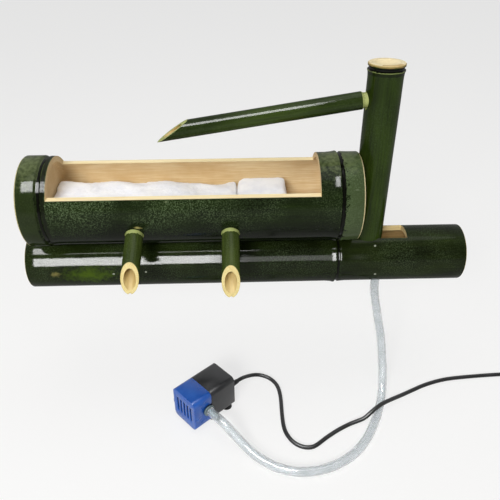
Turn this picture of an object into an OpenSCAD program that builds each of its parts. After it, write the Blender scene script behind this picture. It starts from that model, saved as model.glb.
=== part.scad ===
// Bamboo fountain that lies across the rim of a water pot: a base culm carries a windowed trough culm and a
// standing riser culm, a submerged pump feeds the riser by a clear hose, and the water runs from the riser's
// spout through filter floss in the trough and out of two front spouts.
// Millimetres. X runs to the right along the base culm, Y to the back, Z up. The origin lies on the pot's rim
// plane, midway between the two rim seats and under the base culm's axis.

/* [Base culm] */
// outside diameter of the base culm
base_od = 64; // [60:1:70]
// wall of the base culm
base_wall = 6; // [5:0.5:7]
// distance from the origin to the left end
base_left = 239; // [236:1:275]
// distance from the origin to the right end
base_right = 258; // [242:1:300]
// where the inner wall of the node stands
base_node = 112; // [90:1:113]
// distance from the origin to the middle of each rim seat
seat_at = 221; // [205:1:221]
// length of each rim seat
seat_len = 30; // [20:1:30]
// depth of the planed rim seats
seat_cut = 1.5; // [1:0.1:2]
// depth of the flat planed on top for the trough
base_flat = 0.5; // [0.4:0.1:0.8]
// width of the slot beside the riser
slot_w = 29; // [24:1:31]
// distance from the riser's axis to the slot's far end
slot_len = 44; // [36:1:60]

/* [Trough culm] */
// outside diameter of the trough culm
trough_od = 96; // [92:1:102]
// wall of the trough culm
trough_wall = 5.5; // [5:0.5:6.5]
// length of the trough culm
trough_len = 353; // [345:1:362]
// how much thicker the left stub is, on the radius
trough_swell = 1.2; // [0.8:0.1:1.6]
// how far the trough's axis lies in front of the base's
trough_forward = 7; // [0:0.5:8]
// depth of the flat planed under the trough
trough_flat = 0.4; // [0.3:0.1:0.6]
// distance from the left end to the left node
left_node = 22.5; // [21:0.5:24]
// distance from the right end to the right node
right_node = 22.5; // [21:0.5:26]
// thickness of the inner wall at every node
node_wall = 5; // [4:0.5:6]
// distance from the left end to the window
window_from = 30.5; // [29:0.5:34]
// length of the window
window_len = 277.5; // [270:0.5:280]
// half of the angle that the window opens, seen from the end
window_half = 57; // [54:1:60]
// how far the window leans to the front, in degrees
window_tilt = 7; // [0:1:10]
// screw from each stub into the base: shank diameter
screw_d = 4; // [3:0.5:5]
// diameter of the screw's head
screw_head = 8; // [7:0.5:9]
// distance from each end of the trough to its screw
screw_at = 10; // [8:0.5:12]

/* [Front spouts] */
// outside diameter of the front spouts
front_od = 18.4; // [17:0.2:20]
// bore of the front spouts
front_id = 10.6; // [9:0.2:12]
// distance from the trough's left end to the left spout
front_left_at = 115; // [95:1:130]
// distance from the trough's left end to the right spout
front_right_at = 215; // [195:1:235]
// how far the left spout stands out of the trough
front_left_reach = 52; // [44:1:62]
// how far the right spout stands out of the trough
front_right_reach = 58; // [44:1:66]
// how far the front spouts point down, in degrees
front_dip = 24; // [20:1:28]
// slope of their mouths against a square cut
front_mouth = 55; // [45:1:60]
// bevel of the drilled holes round the front spouts
front_bevel = 2; // [1:0.5:2.5]

/* [Riser] */
// outside diameter of the riser
riser_od = 35.6; // [33:0.2:38]
// wall of the riser
riser_wall = 4.5; // [4:0.5:5]
// where the riser's axis stands
riser_x = 148; // [146:1:156]
// height of the riser's top above its spout's axis
riser_over = 34; // [28:1:45]
// thickness of the closed top under the dish
riser_cap = 5; // [4:0.5:7]
// depth of the dish in the top
riser_dish = 3.5; // [2:0.5:4.5]

/* [Upper spout] */
// outside diameter of the upper spout
spout_od = 18.2; // [17:0.2:20]
// bore of the upper spout
spout_id = 10.6; // [9:0.2:11]
// diameter of the whittled end in the riser
spout_tenon = 14.8; // [14:0.2:15.6]
// length of the bare whittled cone outside the riser
spout_cone = 5; // [3:0.5:12]
// distance from the riser's axis to the middle of the mouth
spout_len = 216.5; // [180:0.5:235]
// how far the spout slopes down, in degrees
spout_dip = 8.6; // [6:0.2:10]
// slope of the mouth against a square cut
spout_mouth = 63.2; // [50:0.2:66]
// height of the spout's axis in the riser above the trough
spout_rise = 58.7; // [50:0.1:70]

/* [Filter floss] */
// room between the floss and the window's edge on each side
floss_room = 2.5; // [1.5:0.5:5]
// distance from the window's left edge to the long pad
floss_from = 3; // [2:0.5:8]
// length of the long pad
floss_long = 188; // [160:1:195]
// gap between the two pads
floss_gap = 3; // [2:0.5:6]
// length of the short pad
floss_short = 51; // [40:1:60]
// height of the pads above the trough's axis
floss_top = 8; // [0:0.5:10]

/* [Hose] */
// outside diameter of the hose
hose_od = 10.5; // [10:0.5:11]
// bore of the hose
hose_id = 7.5; // [7:0.5:8]
// distance from the riser's axis to the hose's way out
hose_shift = 18; // [16:0.5:20]
// how far the hose reaches through the bung
hose_over = 5; // [3:0.5:10]
// thickness of the rubber bung in the riser
bung_len = 14; // [10:1:18]
// distance from the bung's top to the spout's axis
bung_below = 26; // [22:1:40]

/* [Pump] */
// width of the pump
pump_w = 40; // [38:1:44]
// height of the pump's body
pump_h = 44; // [42:1:48]
// depth of the intake cover
cover_depth = 26; // [26:1:30]
// wall of the intake cover
cover_wall = 1.6; // [1.2:0.2:2]
// length of the motor housing
housing_len = 36; // [34:1:44]
// wall of the motor housing
housing_wall = 2; // [1.6:0.2:2.4]
// height of the suction cups
cup_h = 5; // [4:0.5:6]
// diameter of the rotor magnet
rotor_d = 14.6; // [13:0.2:15]
// diameter of the ceramic shaft
shaft_d = 3; // [2.5:0.5:3.5]
// diameter of the impeller
impeller_d = 23; // [20:0.5:24]
// bore of the barbed nipple
nipple_bore = 4.8; // [4.2:0.2:5.2]
// length of the barbed end
barb_len = 16; // [13:0.5:18]

/* [Cable] */
// diameter of the cable
cable_d = 5; // [4.5:0.1:5.4]
// outer radius of the coil, to the cable's middle
coil_r = 36; // [34:1:44]
// step from turn to turn of the coil
coil_step = 5.9; // [5.9:0.1:6.5]
// width of the plug
plug_w = 35; // [33:1:37]
// thickness of the plug
plug_h = 14; // [13:0.5:16]
// length of the plug's body
plug_len = 32; // [28:1:38]
// distance between the plug's pins
pin_pitch = 18.6; // [18:0.1:19]
// diameter of the plug's pins
pin_d = 4; // [3.6:0.1:4.2]

/* [Hidden] */
$fn = 48;

// clearances
fit = 0.05; // a piece glued or pressed in its hole, all round
turn_fit = 0.08; // a piece that turns or slides in its hole, all round
rest = 0.3; // a piece that lies on its seat
over = 1; // how far a cutter runs past what it cuts

// base culm
base_r = base_od / 2;
base_bore = base_r - base_wall;
base_z = base_r - seat_cut;
base_len = base_left + base_right;
base_top = base_z + base_r - base_flat;

// trough culm, measured along its length from its left end
trough_r = trough_od / 2;
trough_bore = trough_r - trough_wall;
trough_y = -trough_forward;
trough_z = base_top + trough_r - trough_flat;
trough_gap = 0.6;
trough_x = riser_x - riser_od / 2 - trough_gap - trough_len;
window_cut = trough_r * cos(window_half);

// the band where the two flats meet, and the screws in its middle
base_band = sqrt(pow(base_r, 2) - pow(base_r - base_flat, 2));
trough_band = sqrt(pow(trough_r, 2) - pow(trough_r - trough_flat, 2));
screw_y = (max(-base_band, trough_y - trough_band) + min(base_band, trough_y + trough_band)) / 2;
screw_seat = trough_z - trough_bore - 0.6;
screw_head_h = 2.6;
screw_past = 3;

// front spouts
front_r = front_od / 2;
front_inner = trough_bore - 1;

// riser and upper spout
riser_r = riser_od / 2;
riser_bore = riser_r - riser_wall;
spout_z = trough_z + trough_r + spout_rise;
riser_top = spout_z + riser_over;
riser_foot = base_z - sqrt(pow(base_bore, 2) - pow(riser_r, 2)) + rest / 2;
notch_w = 2 * hose_od;
notch_top = base_z + base_bore / 2;
spout_r = spout_od / 2;
spout_shoulder = (riser_r + spout_tenon / 2 * sin(spout_dip)) / cos(spout_dip) + rest;
spout_inner = riser_bore - 2;

// hose from the base's underside up to the bung
hose_out = -seat_cut - 1.5;
hose_bend = 4 * hose_od;
hose_turn = acos(1 - hose_shift / 2 / hose_bend);
hose_from = base_z - base_bore + 0.5;
hose_upright = hose_from + 2 * hose_bend * sin(hose_turn);
hose_hole = hose_od + 2 * rest;
bung_top = spout_z - bung_below;
hose_top = bung_top + hose_over;

// pot floor and pump, in the pump's own frame: Y back from the cover's face, X towards the nipple
floor_z = -150;
pump_at = [-68, -95];
pump_turn = -48;
pump_mid = cup_h + pump_h / 2;
corner = 6;
housing_back = cover_depth + housing_len;
spigot = 4;
potting = 3;
well_r = rotor_d / 2 + 1;
well_wall = 1.2;
well_back = housing_back - 8;
volute_front = 11;
volute_skin = 2;
volute_r = 16;
boss_r = 6;
nipple_y = cover_depth - boss_r;
nipple_seat = pump_w / 2 + 0.6;
flange_t = 2.4;
flange_r = 7;
stem_r = 4.4;
barb_r = hose_id / 2 - fit;
barb_from = nipple_seat + flange_t;
bush_r = shaft_d / 2 + 1.5;
hub_r = bush_r + 0.6;
bearing_len = 4;
cup_x = pump_w / 2 - 8;
gland_r = 5;
gland_len = 22;
gland_z = cup_h + 9;

// cable
cable_r = cable_d / 2;
cable_z = floor_z + cable_r;
coil_at = [420, -26.4];
coil_turns = 3;
tie_t = 1.2;
tie_w = 5;
coil_low = cable_z + tie_t + rest;
coil_high = coil_low + coil_step;
coil_mid = [coil_at[0], coil_at[1] + coil_r];
coil_in = coil_r - coil_turns * coil_step;
relief_from = 480;
relief_len = 24;
plug_z = floor_z + plug_h / 2;

// route of the free hose, from the base to the nipple
hose_route = [[170, -4, -43], [174, -10, -64], [177, -17, -79], [178.5, -25, -94], [179, -33, -107],
    [179, -42, -119], [178, -51, -130], [176, -61, -138], [172, -73, -143.5], [167, -85, -144.7],
    [161, -98, -144.7], [152, -114, -144.7], [142, -129, -144.7], [127, -145, -144.7], [108, -158, -144.7],
    [86, -166, -144.7], [62, -168, -144.7], [38, -162, -144.2], [18, -150, -142.5], [2, -136, -138.5]];

// route of the cable, from the pump's gland over the hose to the coil
cable_route = [[12, -23, -142.5], [24, -19, -146], [37, -24, -147.5], [46, -37, -147.5], [49, -55, -147.5],
    [49, -75, -147.5], [49, -95, -147.5], [51, -111, -147.5], [58, -125, -147.5], [69, -133, -147.5],
    [82, -133, -147.5], [97, -122, -147.5], [113, -111, -147.5], [130, -102, -147.2], [146, -98, -143.5],
    [156, -93, -138], [166, -86, -136], [180, -76, -138.5], [202, -61, -145], [223, -49, -147.5],
    [241, -41, -147.5], [269, -33, -147.5], [308, -29, -147.5], [342, -27, -147.5], [385, -26.4, -147]];

// small vector helpers
function unit(v) = v / norm(v);
function to_world(p) = [pump_at[0] + p[0] * cos(pump_turn) - p[1] * sin(pump_turn),
    pump_at[1] + p[0] * sin(pump_turn) + p[1] * cos(pump_turn), floor_z + p[2]];
function tangent(p, i) = i == 0 ? unit(p[1] - p[0]) : i == len(p) - 1 ? unit(p[i] - p[i - 1])
    : unit(unit(p[i + 1] - p[i]) + unit(p[i] - p[i - 1]));
function carried(u, t) = unit(u - (u * t) * t);
function frames(p, u0) = [for (i = 0, u = carried(u0, tangent(p, 0)); i < len(p);
    i = i + 1, u = i < len(p) ? carried(u, tangent(p, i)) : u) u];
function ring(p, u, t, r, sides) = [for (j = [0 : sides - 1]) let (a = 360 * j / sides)
    p + r * (cos(a) * u + sin(a) * cross(t, u))];
function rings(p, r, sides, u0) = let (u = frames(p, u0))
    [for (i = [0 : len(p) - 1]) each ring(p[i], u[i], tangent(p, i), r, sides)];
function skin(n, s, at, out) = [for (i = [0 : n - 2], j = [0 : s - 1])
    let (a = at + i * s + j, b = at + i * s + (j + 1) % s)
    each out ? [[a, a + s, b + s], [a, b + s, b]] : [[a, b + s, a + s], [a, b, b + s]]];
function fan(s, at, front) = [for (j = [1 : s - 2])
    front ? [at, at + j, at + j + 1] : [at, at + j + 1, at + j]];
function annulus(s, a, b, front) = [for (j = [0 : s - 1]) let (k = (j + 1) % s)
    each front ? [[a + j, a + k, b + k], [a + j, b + k, b + j]]
    : [[a + j, b + k, a + k], [a + j, b + j, b + k]]];
function spline(a, b, c, d, t) = 0.5 * ((2 * b) + (c - a) * t + (2 * a - 5 * b + 4 * c - d) * t * t
    + (3 * b - a - 3 * c + d) * t * t * t);
function finer(p) = [for (i = [0 : len(p) - 2]) each [p[i], spline(p[max(i - 1, 0)], p[i], p[i + 1],
    p[min(i + 2, len(p) - 1)], 0.5)], p[len(p) - 1]];
function run_length(p) = len(p) < 2 ? 0 : [for (i = 1, s = norm(p[1] - p[0]); i < len(p);
    i = i + 1, s = s + (i < len(p) ? norm(p[i] - p[i - 1]) : 0)) s][len(p) - 2];

// a solid cord with round ends cut square
module cord(p, r, sides, u0) {
    n = len(p);
    polyhedron(points = rings(p, r, sides, u0), faces = concat(skin(n, sides, 0, true), fan(sides, 0, true),
        fan(sides, (n - 1) * sides, false)), convexity = 10);
}

// a hose: the same with a bore
module tube(p, r, bore, sides, u0) {
    n = len(p);
    m = n * sides;
    polyhedron(points = concat(rings(p, r, sides, u0), rings(p, bore, sides, u0)),
        faces = concat(skin(n, sides, 0, true), skin(n, sides, m, false), annulus(sides, 0, m, true),
        annulus(sides, m - sides, 2 * m - sides, false)), convexity = 10);
}

module turned(profile) {
    rotate_extrude()
        polygon(profile);
}

// a bore between two depths, its closed ends rounded by e0 and e1
module pocket(r, z0, z1, e0, e1) {
    rotate_extrude() {
        translate([0, z0 + e0])
            square([r, z1 - z0 - e0 - e1]);
        translate([0, z0])
            square([r - max(e0, e1), z1 - z0]);
        if (e0 > 0)
            translate([r - e0, z0 + e0])
                intersection() {
                    circle(e0);
                    translate([-e0, -e0])
                        square([2 * e0, e0]);
                }
        if (e1 > 0)
            translate([r - e1, z1 - e1])
                intersection() {
                    circle(e1);
                    translate([-e1, 0])
                        square([2 * e1, e1]);
                }
    }
}

// outline of a node's ridge and groove at height n on a culm of radius r
function ridge(n, r) = [[r, n - 12], [r + 0.7, n - 4], [r + 1.3, n - 2.6], [r + 1.3, n - 1.4],
    [r - 0.8, n - 0.4], [r - 0.8, n + 1.6], [r + 0.5, n + 3], [r, n + 11]];

module base_culm() {
    at = base_left + base_node;
    color([0.13, 0.2, 0.08])
    difference() {
        translate([-base_left, 0, base_z])
            rotate([0, 90, 0])
                difference() {
                    turned(concat([[0, 0], [base_r - 0.6, 0], [base_r, 0.6]], ridge(at, base_r),
                        [[base_r, base_len - 0.6], [base_r - 0.6, base_len], [0, base_len]]));
                    pocket(base_bore, -over, at - node_wall / 2, 0, 5);
                    pocket(base_bore, at + node_wall / 2, base_len + over, 5, 0);
                }
        // rim seats
        for (side = [-1, 1])
            translate([side * seat_at - seat_len / 2, -base_r, -seat_cut - over])
                cube([seat_len, base_od, seat_cut + over]);
        // flat under the trough
        translate([trough_x - over, -base_r, base_top])
            cube([trough_len + over + trough_gap, base_od, base_flat + 2 * over]);
        // riser hole, slot beside it and the hose's way out
        translate([riser_x, 0, base_z])
            cylinder(h = base_od, r = riser_r + turn_fit);
        translate([riser_x, -slot_w / 2, base_z])
            cube([slot_len, slot_w, base_od]);
        translate([riser_x + hose_shift, 0, -seat_cut - over])
            cylinder(h = base_z, d = hose_hole);
        // pilot holes of the trough's screws
        for (x = [screw_at, trough_len - screw_at])
            translate([trough_x + x, screw_y, base_z])
                cylinder(h = base_od, d = screw_d + 2 * fit);
    }
}

module trough_culm() {
    r = trough_r;
    s = r + trough_swell;
    l = left_node;
    n = trough_len - right_node;
    color([0.15, 0.25, 0.09])
    difference() {
        translate([trough_x, trough_y, trough_z])
            rotate([0, 90, 0])
                difference() {
                    turned([[0, 0], [s - 0.8, 0], [s, 0.8], [s, l - 4], [s - 0.4, l - 3], [r - 0.9, l - 1.8],
                        [r - 0.9, l + 1.8], [r + 0.4, l + 3.2], [r, l + 12], [r, n - 14], [r + 0.7, n - 5],
                        [r + 1.2, n - 3], [r + 1.2, n - 1.6], [r - 0.8, n - 0.6], [r - 0.8, n + 1.8],
                        [r + 0.5, n + 3], [r + 0.2, n + 10], [r + 0.2, trough_len - 0.8],
                        [r - 0.6, trough_len], [0, trough_len]]);
                    pocket(trough_bore, -over, l - node_wall / 2, 0, 5);
                    pocket(trough_bore, l + node_wall / 2, n - node_wall / 2, 6, 6);
                    pocket(trough_bore, n + node_wall / 2, trough_len + over, 5, 0);
                }
        // window
        translate([trough_x + window_from, trough_y, trough_z])
            rotate([window_tilt, 0, 0])
                translate([0, -trough_od, window_cut])
                    cube([window_len, 2 * trough_od, trough_od]);
        // flat on the base
        translate([trough_x - over, trough_y - trough_r, base_top - 2 * over])
            cube([trough_len + 2 * over, trough_od, 2 * over]);
        // bevelled holes of the front spouts
        for (x = [front_left_at, front_right_at])
            front_axis(x) {
                cylinder(h = trough_od, r = front_r + fit);
                translate([0, 0, trough_r - front_bevel])
                    cylinder(h = front_bevel + over, r1 = front_r, r2 = front_r + front_bevel + over);
            }
        // spot faces and holes of the screws
        for (x = [screw_at, trough_len - screw_at])
            translate([trough_x + x, screw_y, 0]) {
                translate([0, 0, base_top - over])
                    cylinder(h = trough_wall + 2 * over, d = screw_d + 2 * fit);
                translate([0, 0, screw_seat])
                    cylinder(h = 4, d = screw_head + 1);
            }
    }
}

// places a piece on a front spout's axis: Z outwards, Y up
module front_axis(x) {
    translate([trough_x + x, trough_y, trough_z])
        rotate([90 + front_dip, 0, 0])
            children();
}

module trough_screws() {
    color([0.75, 0.75, 0.72])
    for (x = [screw_at, trough_len - screw_at])
        translate([trough_x + x, screw_y, 0]) {
            translate([0, 0, base_top - base_wall - screw_past])
                cylinder(h = 2, d1 = 1, d2 = screw_d);
            translate([0, 0, base_top - base_wall - screw_past + 2])
                cylinder(h = screw_seat - base_top + base_wall + screw_past - 2, d = screw_d);
            translate([0, 0, screw_seat])
                difference() {
                    turned([[0, 0], [screw_head / 2, 0], [screw_head / 2, screw_head_h - 0.8],
                        [screw_head / 2 - 0.8, screw_head_h], [0, screw_head_h]]);
                    for (a = [0, 90])
                        rotate([0, 0, a])
                            translate([-screw_head / 4, -0.5, screw_head_h - 1.4])
                                cube([screw_head / 2, 1, 2]);
                }
        }
}

module front_spout(x, reach) {
    length = trough_r + reach;
    tip = front_r * tan(front_mouth);
    color([0.2, 0.3, 0.1])
    front_axis(x)
        difference() {
            translate([0, 0, front_inner])
                cylinder(h = length + tip + 2 - front_inner, r = front_r);
            translate([0, 0, front_inner - over])
                cylinder(h = length + tip + 4 - front_inner, d = front_id);
            // slanted mouth, open to the front and upwards
            translate([0, 0, length])
                rotate([-front_mouth, 0, 0])
                    translate([-front_od, -2 * front_od, 0])
                        cube([2 * front_od, 4 * front_od, 3 * front_od]);
            // drip notch in the lower lip
            translate([0, -front_id / 2 + over, length + tip])
                rotate([90, 0, 0])
                    cylinder(h = front_od, r = 1.5);
        }
}

module front_spout_left() {
    front_spout(front_left_at, front_left_reach);
}

module front_spout_right() {
    front_spout(front_right_at, front_right_reach);
}

module riser_culm() {
    h = riser_top - riser_foot;
    r = riser_r;
    dish_r = (pow(riser_bore, 2) + pow(riser_dish, 2)) / 2 / riser_dish;
    color([0.16, 0.24, 0.09])
    difference() {
        translate([riser_x, 0, riser_foot])
            difference() {
                turned([[0, 0], [r, 0], [r, h - 14], [r + 0.5, h - 8.4], [r + 1, h - 7.4], [r + 1, h - 6.6],
                    [r - 0.6, h - 5.6], [r - 0.6, h - 3.8], [r + 0.7, h - 2.8], [r + 0.7, h - 0.6],
                    [r + 0.1, h], [0, h]]);
                pocket(riser_bore, -over, h - riser_dish - riser_cap, 0, 5);
                translate([0, 0, h - riser_dish + dish_r])
                    sphere(dish_r);
            }
        // hole of the upper spout, in the left wall only
        spout_axis()
            cylinder(h = riser_od, r = spout_tenon / 2 + turn_fit);
        // notch in the foot that lets the hose in
        translate([riser_x + riser_bore / 2, -notch_w / 2, riser_foot - over])
            cube([riser_od, notch_w, notch_top - riser_foot + over]);
    }
}

// places a piece on the upper spout's axis: Z down the spout, X up
module spout_axis() {
    translate([riser_x, 0, spout_z])
        rotate([0, -90 - spout_dip, 0])
            children();
}

module upper_spout() {
    tip = spout_r * tan(spout_mouth);
    color([0.2, 0.3, 0.1])
    spout_axis()
        difference() {
            turned([[spout_id / 2, spout_inner], [spout_tenon / 2, spout_inner],
                [spout_tenon / 2, spout_shoulder], [spout_r, spout_shoulder + spout_cone],
                [spout_r, spout_len + tip + 2], [spout_id / 2, spout_len + tip + 2]]);
            translate([0, 0, spout_len])
                rotate([0, spout_mouth, 0])
                    translate([-3 * spout_od, -spout_od, 0])
                        cube([6 * spout_od, 2 * spout_od, 4 * spout_od]);
        }
}

module riser_bung() {
    color([0.12, 0.12, 0.12])
    translate([riser_x, 0, bung_top - bung_len])
        difference() {
            cylinder(h = bung_len, r = riser_bore - fit);
            translate([0, 0, -over])
                cylinder(h = bung_len + 2 * over, d = hose_od + 2 * turn_fit);
        }
}

// one pad of floss in the trough, crowned and uneven on top, its ends drawn in
floss_r = trough_bore - rest;
floss_half = sqrt(pow(trough_bore, 2) - pow(window_cut, 2)) - floss_room;
floss_wave = 156;
floss_ripple = 70;
floss_tuft = 50;
floss_swing = 0.5;
floss_dip_at = 196;
floss_dip = 6;
floss_dip_w = 30;
floss_rise_at = 272;
floss_rise = 2.5;
floss_rise_w = 20;
floss_edge = 2.2;
floss_heart = -14;
floss_pitch = 7;
function floss_height(x) = floss_top
    + floss_swing * (sin(360 * x / floss_wave) + 0.8 * sin(360 * x / floss_ripple))
    - floss_dip * exp(-pow((x - floss_dip_at) / floss_dip_w, 2))
    + floss_rise * exp(-pow((x - floss_rise_at) / floss_rise_w, 2));
function floss_outline(x) = [for (i = [0 : 8])
        let (y = floss_half * (i / 4 - 1))
        [y, -sqrt(pow(floss_r, 2) - y * y)],
    [floss_half, -floss_top],
    [floss_half - floss_edge / 6, floss_height(x) - 2 * floss_edge],
    for (i = [0 : 8])
        let (y = (floss_half - floss_edge) * (1 - i / 4))
        [y, floss_height(x) + floss_edge * 0.7 * cos(90 * y / floss_half)
            + floss_edge / 3 * sin(360 * (x + y) / floss_tuft)],
    [floss_edge / 6 - floss_half, floss_height(x) - 2 * floss_edge],
    [-floss_half, -floss_top]];
function floss_ring(x, k) = [for (p = floss_outline(x))
    [x, p[0] * k, floss_heart + (p[1] - floss_heart) * k]];

module floss(x0, length) {
    n = round(length / floss_pitch);
    inset = [0.9, 0.98];
    step = 0.7 * floss_edge;
    xs = concat([x0, x0 + step], [for (i = [1 : n - 1]) x0 + length * i / n],
        [x0 + length - step, x0 + length]);
    last = len(xs) - 1;
    s = len(floss_outline(x0));
    points = [for (i = [0 : last])
        each floss_ring(xs[i], i < 2 ? inset[i] : i > last - 2 ? inset[last - i] : 1)];
    translate([trough_x, trough_y, trough_z])
        rotate([window_tilt, 0, 0])
            polyhedron(points = points, faces = concat(skin(last + 1, s, 0, true), fan(s, 0, true),
                fan(s, last * s, false)), convexity = 6);
}

module floss_pad_long() {
    color([0.95, 0.95, 0.95])
        floss(window_from + floss_from, floss_long);
}

module floss_pad_short() {
    color([0.95, 0.95, 0.95])
        floss(window_from + floss_from + floss_long + floss_gap, floss_short);
}

// hose held in the base and the riser: up through the base's underside, over in an easy S, up to the bung
hose_lift = concat([[riser_x + hose_shift, 0, hose_out]],
    [for (i = [0 : 6]) let (a = hose_turn * i / 6)
        [riser_x + hose_shift - hose_bend * (1 - cos(a)), 0, hose_from + hose_bend * sin(a)]],
    [for (i = [5 : -1 : 0]) let (a = hose_turn * i / 6)
        [riser_x + hose_bend * (1 - cos(a)), 0, hose_upright - hose_bend * sin(a)]],
    [[riser_x, 0, hose_top]]);
module hose_riser() {
    color([0.75, 0.8, 0.8, 0.6])
        tube(hose_lift, hose_od / 2, hose_id / 2 / cos(15), 12, [0, 1, 0]);
}

// free hose from the base's underside to the pump's nipple
hose_path = concat([[riser_x + hose_shift, 0, hose_out], [riser_x + hose_shift, 0, hose_out - 12],
    [riser_x + hose_shift + 1, -1, hose_out - 24]], hose_route,
    [to_world([barb_from + 27, nipple_y, pump_mid]), to_world([barb_from + 12, nipple_y, pump_mid]),
    to_world([barb_from, nipple_y, pump_mid])]);
module hose_free() {
    color([0.75, 0.8, 0.8, 0.6])
        tube(hose_path, hose_od / 2, hose_id / 2 / cos(15), 12, [0, 1, 0]);
}

// places a piece in the pump's own frame
module in_pump() {
    translate([pump_at[0], pump_at[1], floor_z])
        rotate([0, 0, pump_turn])
            children();
}

// extrudes a face drawn across the motor's axis, from depth y0 back to y1
module along(y0, y1) {
    translate([0, y1, pump_mid])
        rotate([90, 0, 0])
            linear_extrude(y1 - y0)
                children();
}

module face(w, h, r) {
    square([w, h - 2 * r], center = true);
    square([w - 2 * r, h], center = true);
    for (x = [-1, 1], y = [-1, 1])
        translate([x * (w / 2 - r), y * (h / 2 - r)])
            circle(r);
}

module pump_cover() {
    color([0.12, 0.38, 0.75])
    in_pump()
        difference() {
            union() {
                along(0, cover_depth)
                    face(pump_w, pump_h, corner);
                // pull loop on the left side
                translate([-pump_w / 2, 8, pump_mid - 6])
                    cylinder(h = 3, r = 7);
            }
            along(2, cover_depth + over)
                face(pump_w - 2 * cover_wall, pump_h - 2 * cover_wall, corner - cover_wall);
            translate([-pump_w / 2 - cover_wall, 8, pump_mid - 7])
                intersection() {
                    cylinder(h = 5, r = 4);
                    translate([-8, -8, 0])
                        cube([8, 16, 5]);
                }
            // intake slots
            for (x = [-12 : 6 : 12])
                along(-over, 3)
                    translate([x, 0])
                        square([3, pump_h / 2], center = true);
            // way for the nipple, open to the back
            translate([0, nipple_y, pump_mid])
                rotate([0, 90, 0])
                    cylinder(h = pump_w, r = boss_r + 0.5);
            translate([0, nipple_y, pump_mid - boss_r - 0.5])
                cube([pump_w, cover_depth, 2 * boss_r + 1]);
        }
}

module pump_volute() {
    color([0.2, 0.2, 0.22])
    in_pump()
        difference() {
            union() {
                difference() {
                    union() {
                        along(volute_front, cover_depth)
                            circle(volute_r);
                        translate([volute_r / 2, nipple_y, pump_mid])
                            rotate([0, 90, 0])
                                cylinder(h = pump_w / 2 - volute_r / 2, r = boss_r - 0.4);
                    }
                    // impeller chamber
                    along(volute_front + volute_skin, cover_depth + over)
                        circle(volute_r - 2);
                    // outlet socket
                    translate([volute_r - 4, nipple_y, pump_mid])
                        rotate([0, 90, 0])
                            cylinder(h = pump_w, r = stem_r + fit);
                    // intake eye round the front bearing, crossed by three ribs
                    along(volute_front - over, volute_front + volute_skin + over)
                        difference() {
                            circle(8.5);
                            for (a = [30, 150, 270])
                                rotate(a)
                                    translate([0, -0.9])
                                        square([9, 1.8]);
                        }
                }
                along(volute_front, volute_front + bearing_len)
                    circle(hub_r + 0.2);
            }
            along(volute_front + 0.4, volute_front + bearing_len + over)
                circle(bush_r + fit);
        }
}

module pump_nipple() {
    color([0.45, 0.55, 0.58])
    in_pump()
        translate([0, nipple_y, pump_mid])
            rotate([0, 90, 0])
                difference() {
                    turned([[0, volute_r - 2.5], [stem_r, volute_r - 2.5], [stem_r, nipple_seat],
                        [flange_r - 0.4, nipple_seat], [flange_r, nipple_seat + 0.4],
                        [flange_r, barb_from - 0.4], [flange_r - 0.4, barb_from], [barb_r - 0.3, barb_from],
                        [barb_r - 0.3, barb_from + 3], [barb_r, barb_from + 3], [barb_r - 0.3, barb_from + 6],
                        [barb_r, barb_from + 6], [barb_r - 0.3, barb_from + 9], [barb_r, barb_from + 9],
                        [barb_r - 0.6, barb_from + barb_len], [0, barb_from + barb_len]]);
                    cylinder(h = 2 * pump_w, d = nipple_bore);
                }
}

module pump_housing() {
    color([0.1, 0.1, 0.11])
    in_pump()
        difference() {
            union() {
                difference() {
                    union() {
                        along(cover_depth, housing_back)
                            face(pump_w, pump_h, corner);
                        // spigot that the cover slides over
                        along(cover_depth - spigot, cover_depth)
                            face(pump_w - 2 * cover_wall - 2 * rest, pump_h - 2 * cover_wall - 2 * rest,
                                corner - cover_wall - rest);
                    }
                    along(cover_depth - spigot - over, cover_depth)
                        circle(volute_r + rest);
                    along(cover_depth + 2.5, housing_back + over)
                        face(pump_w - 2 * housing_wall, pump_h - 2 * housing_wall, corner - housing_wall);
                }
                // closed well round the rotor
                along(cover_depth, well_back + well_wall)
                    circle(well_r + well_wall);
            }
            along(cover_depth - over, well_back - bearing_len)
                circle(well_r);
            along(well_back - bearing_len - over, well_back)
                circle(bush_r + fit);
            // way for the volute's outlet through the spigot
            translate([0, 0, pump_mid - boss_r])
                cube([pump_w, cover_depth, 2 * boss_r]);
            // seats of the suction cups' stems
            for (x = [-cup_x, cup_x], y = [cover_depth + 7, housing_back - 7])
                translate([x, y, cup_h - over])
                    cylinder(h = over + 1.4, r = 1.5 + fit);
        }
}

module pump_stator() {
    yoke = pump_mid + well_r + well_wall;
    color([0.4, 0.4, 0.42])
    in_pump()
        difference() {
            translate([-pump_w / 2 + 3.6, cover_depth + 7, pump_mid - 12])
                cube([pump_w - 7.2, 14, 12 + yoke - pump_mid + 7]);
            along(cover_depth, housing_back)
                circle(well_r + well_wall + 0.2);
            translate([-2, cover_depth, pump_mid - 13])
                cube([4, housing_len, 13]);
            translate([-9.6, cover_depth, pump_mid])
                cube([19.2, housing_len, yoke - pump_mid + 2.6]);
        }
}

module pump_winding() {
    yoke = pump_mid + well_r + well_wall;
    color([0.6, 0.35, 0.2])
    in_pump()
        difference() {
            translate([-9.4, cover_depth + 4.6, yoke + 0.4])
                cube([18.8, 18.8, pump_mid + pump_h / 2 - housing_wall - yoke - 0.8]);
            translate([-10, cover_depth + 6.8, yoke + 2.4])
                cube([20, 14.4, 4.8]);
        }
}

module pump_potting() {
    color([0.14, 0.14, 0.15])
    in_pump()
        along(housing_back - potting, housing_back)
            face(pump_w - 2 * housing_wall - 2 * fit, pump_h - 2 * housing_wall - 2 * fit,
                corner - housing_wall - fit);
}

module pump_shaft() {
    color([0.9, 0.9, 0.88])
    in_pump()
        along(volute_front + 0.4, well_back - 0.4)
            circle(d = shaft_d);
}

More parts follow.
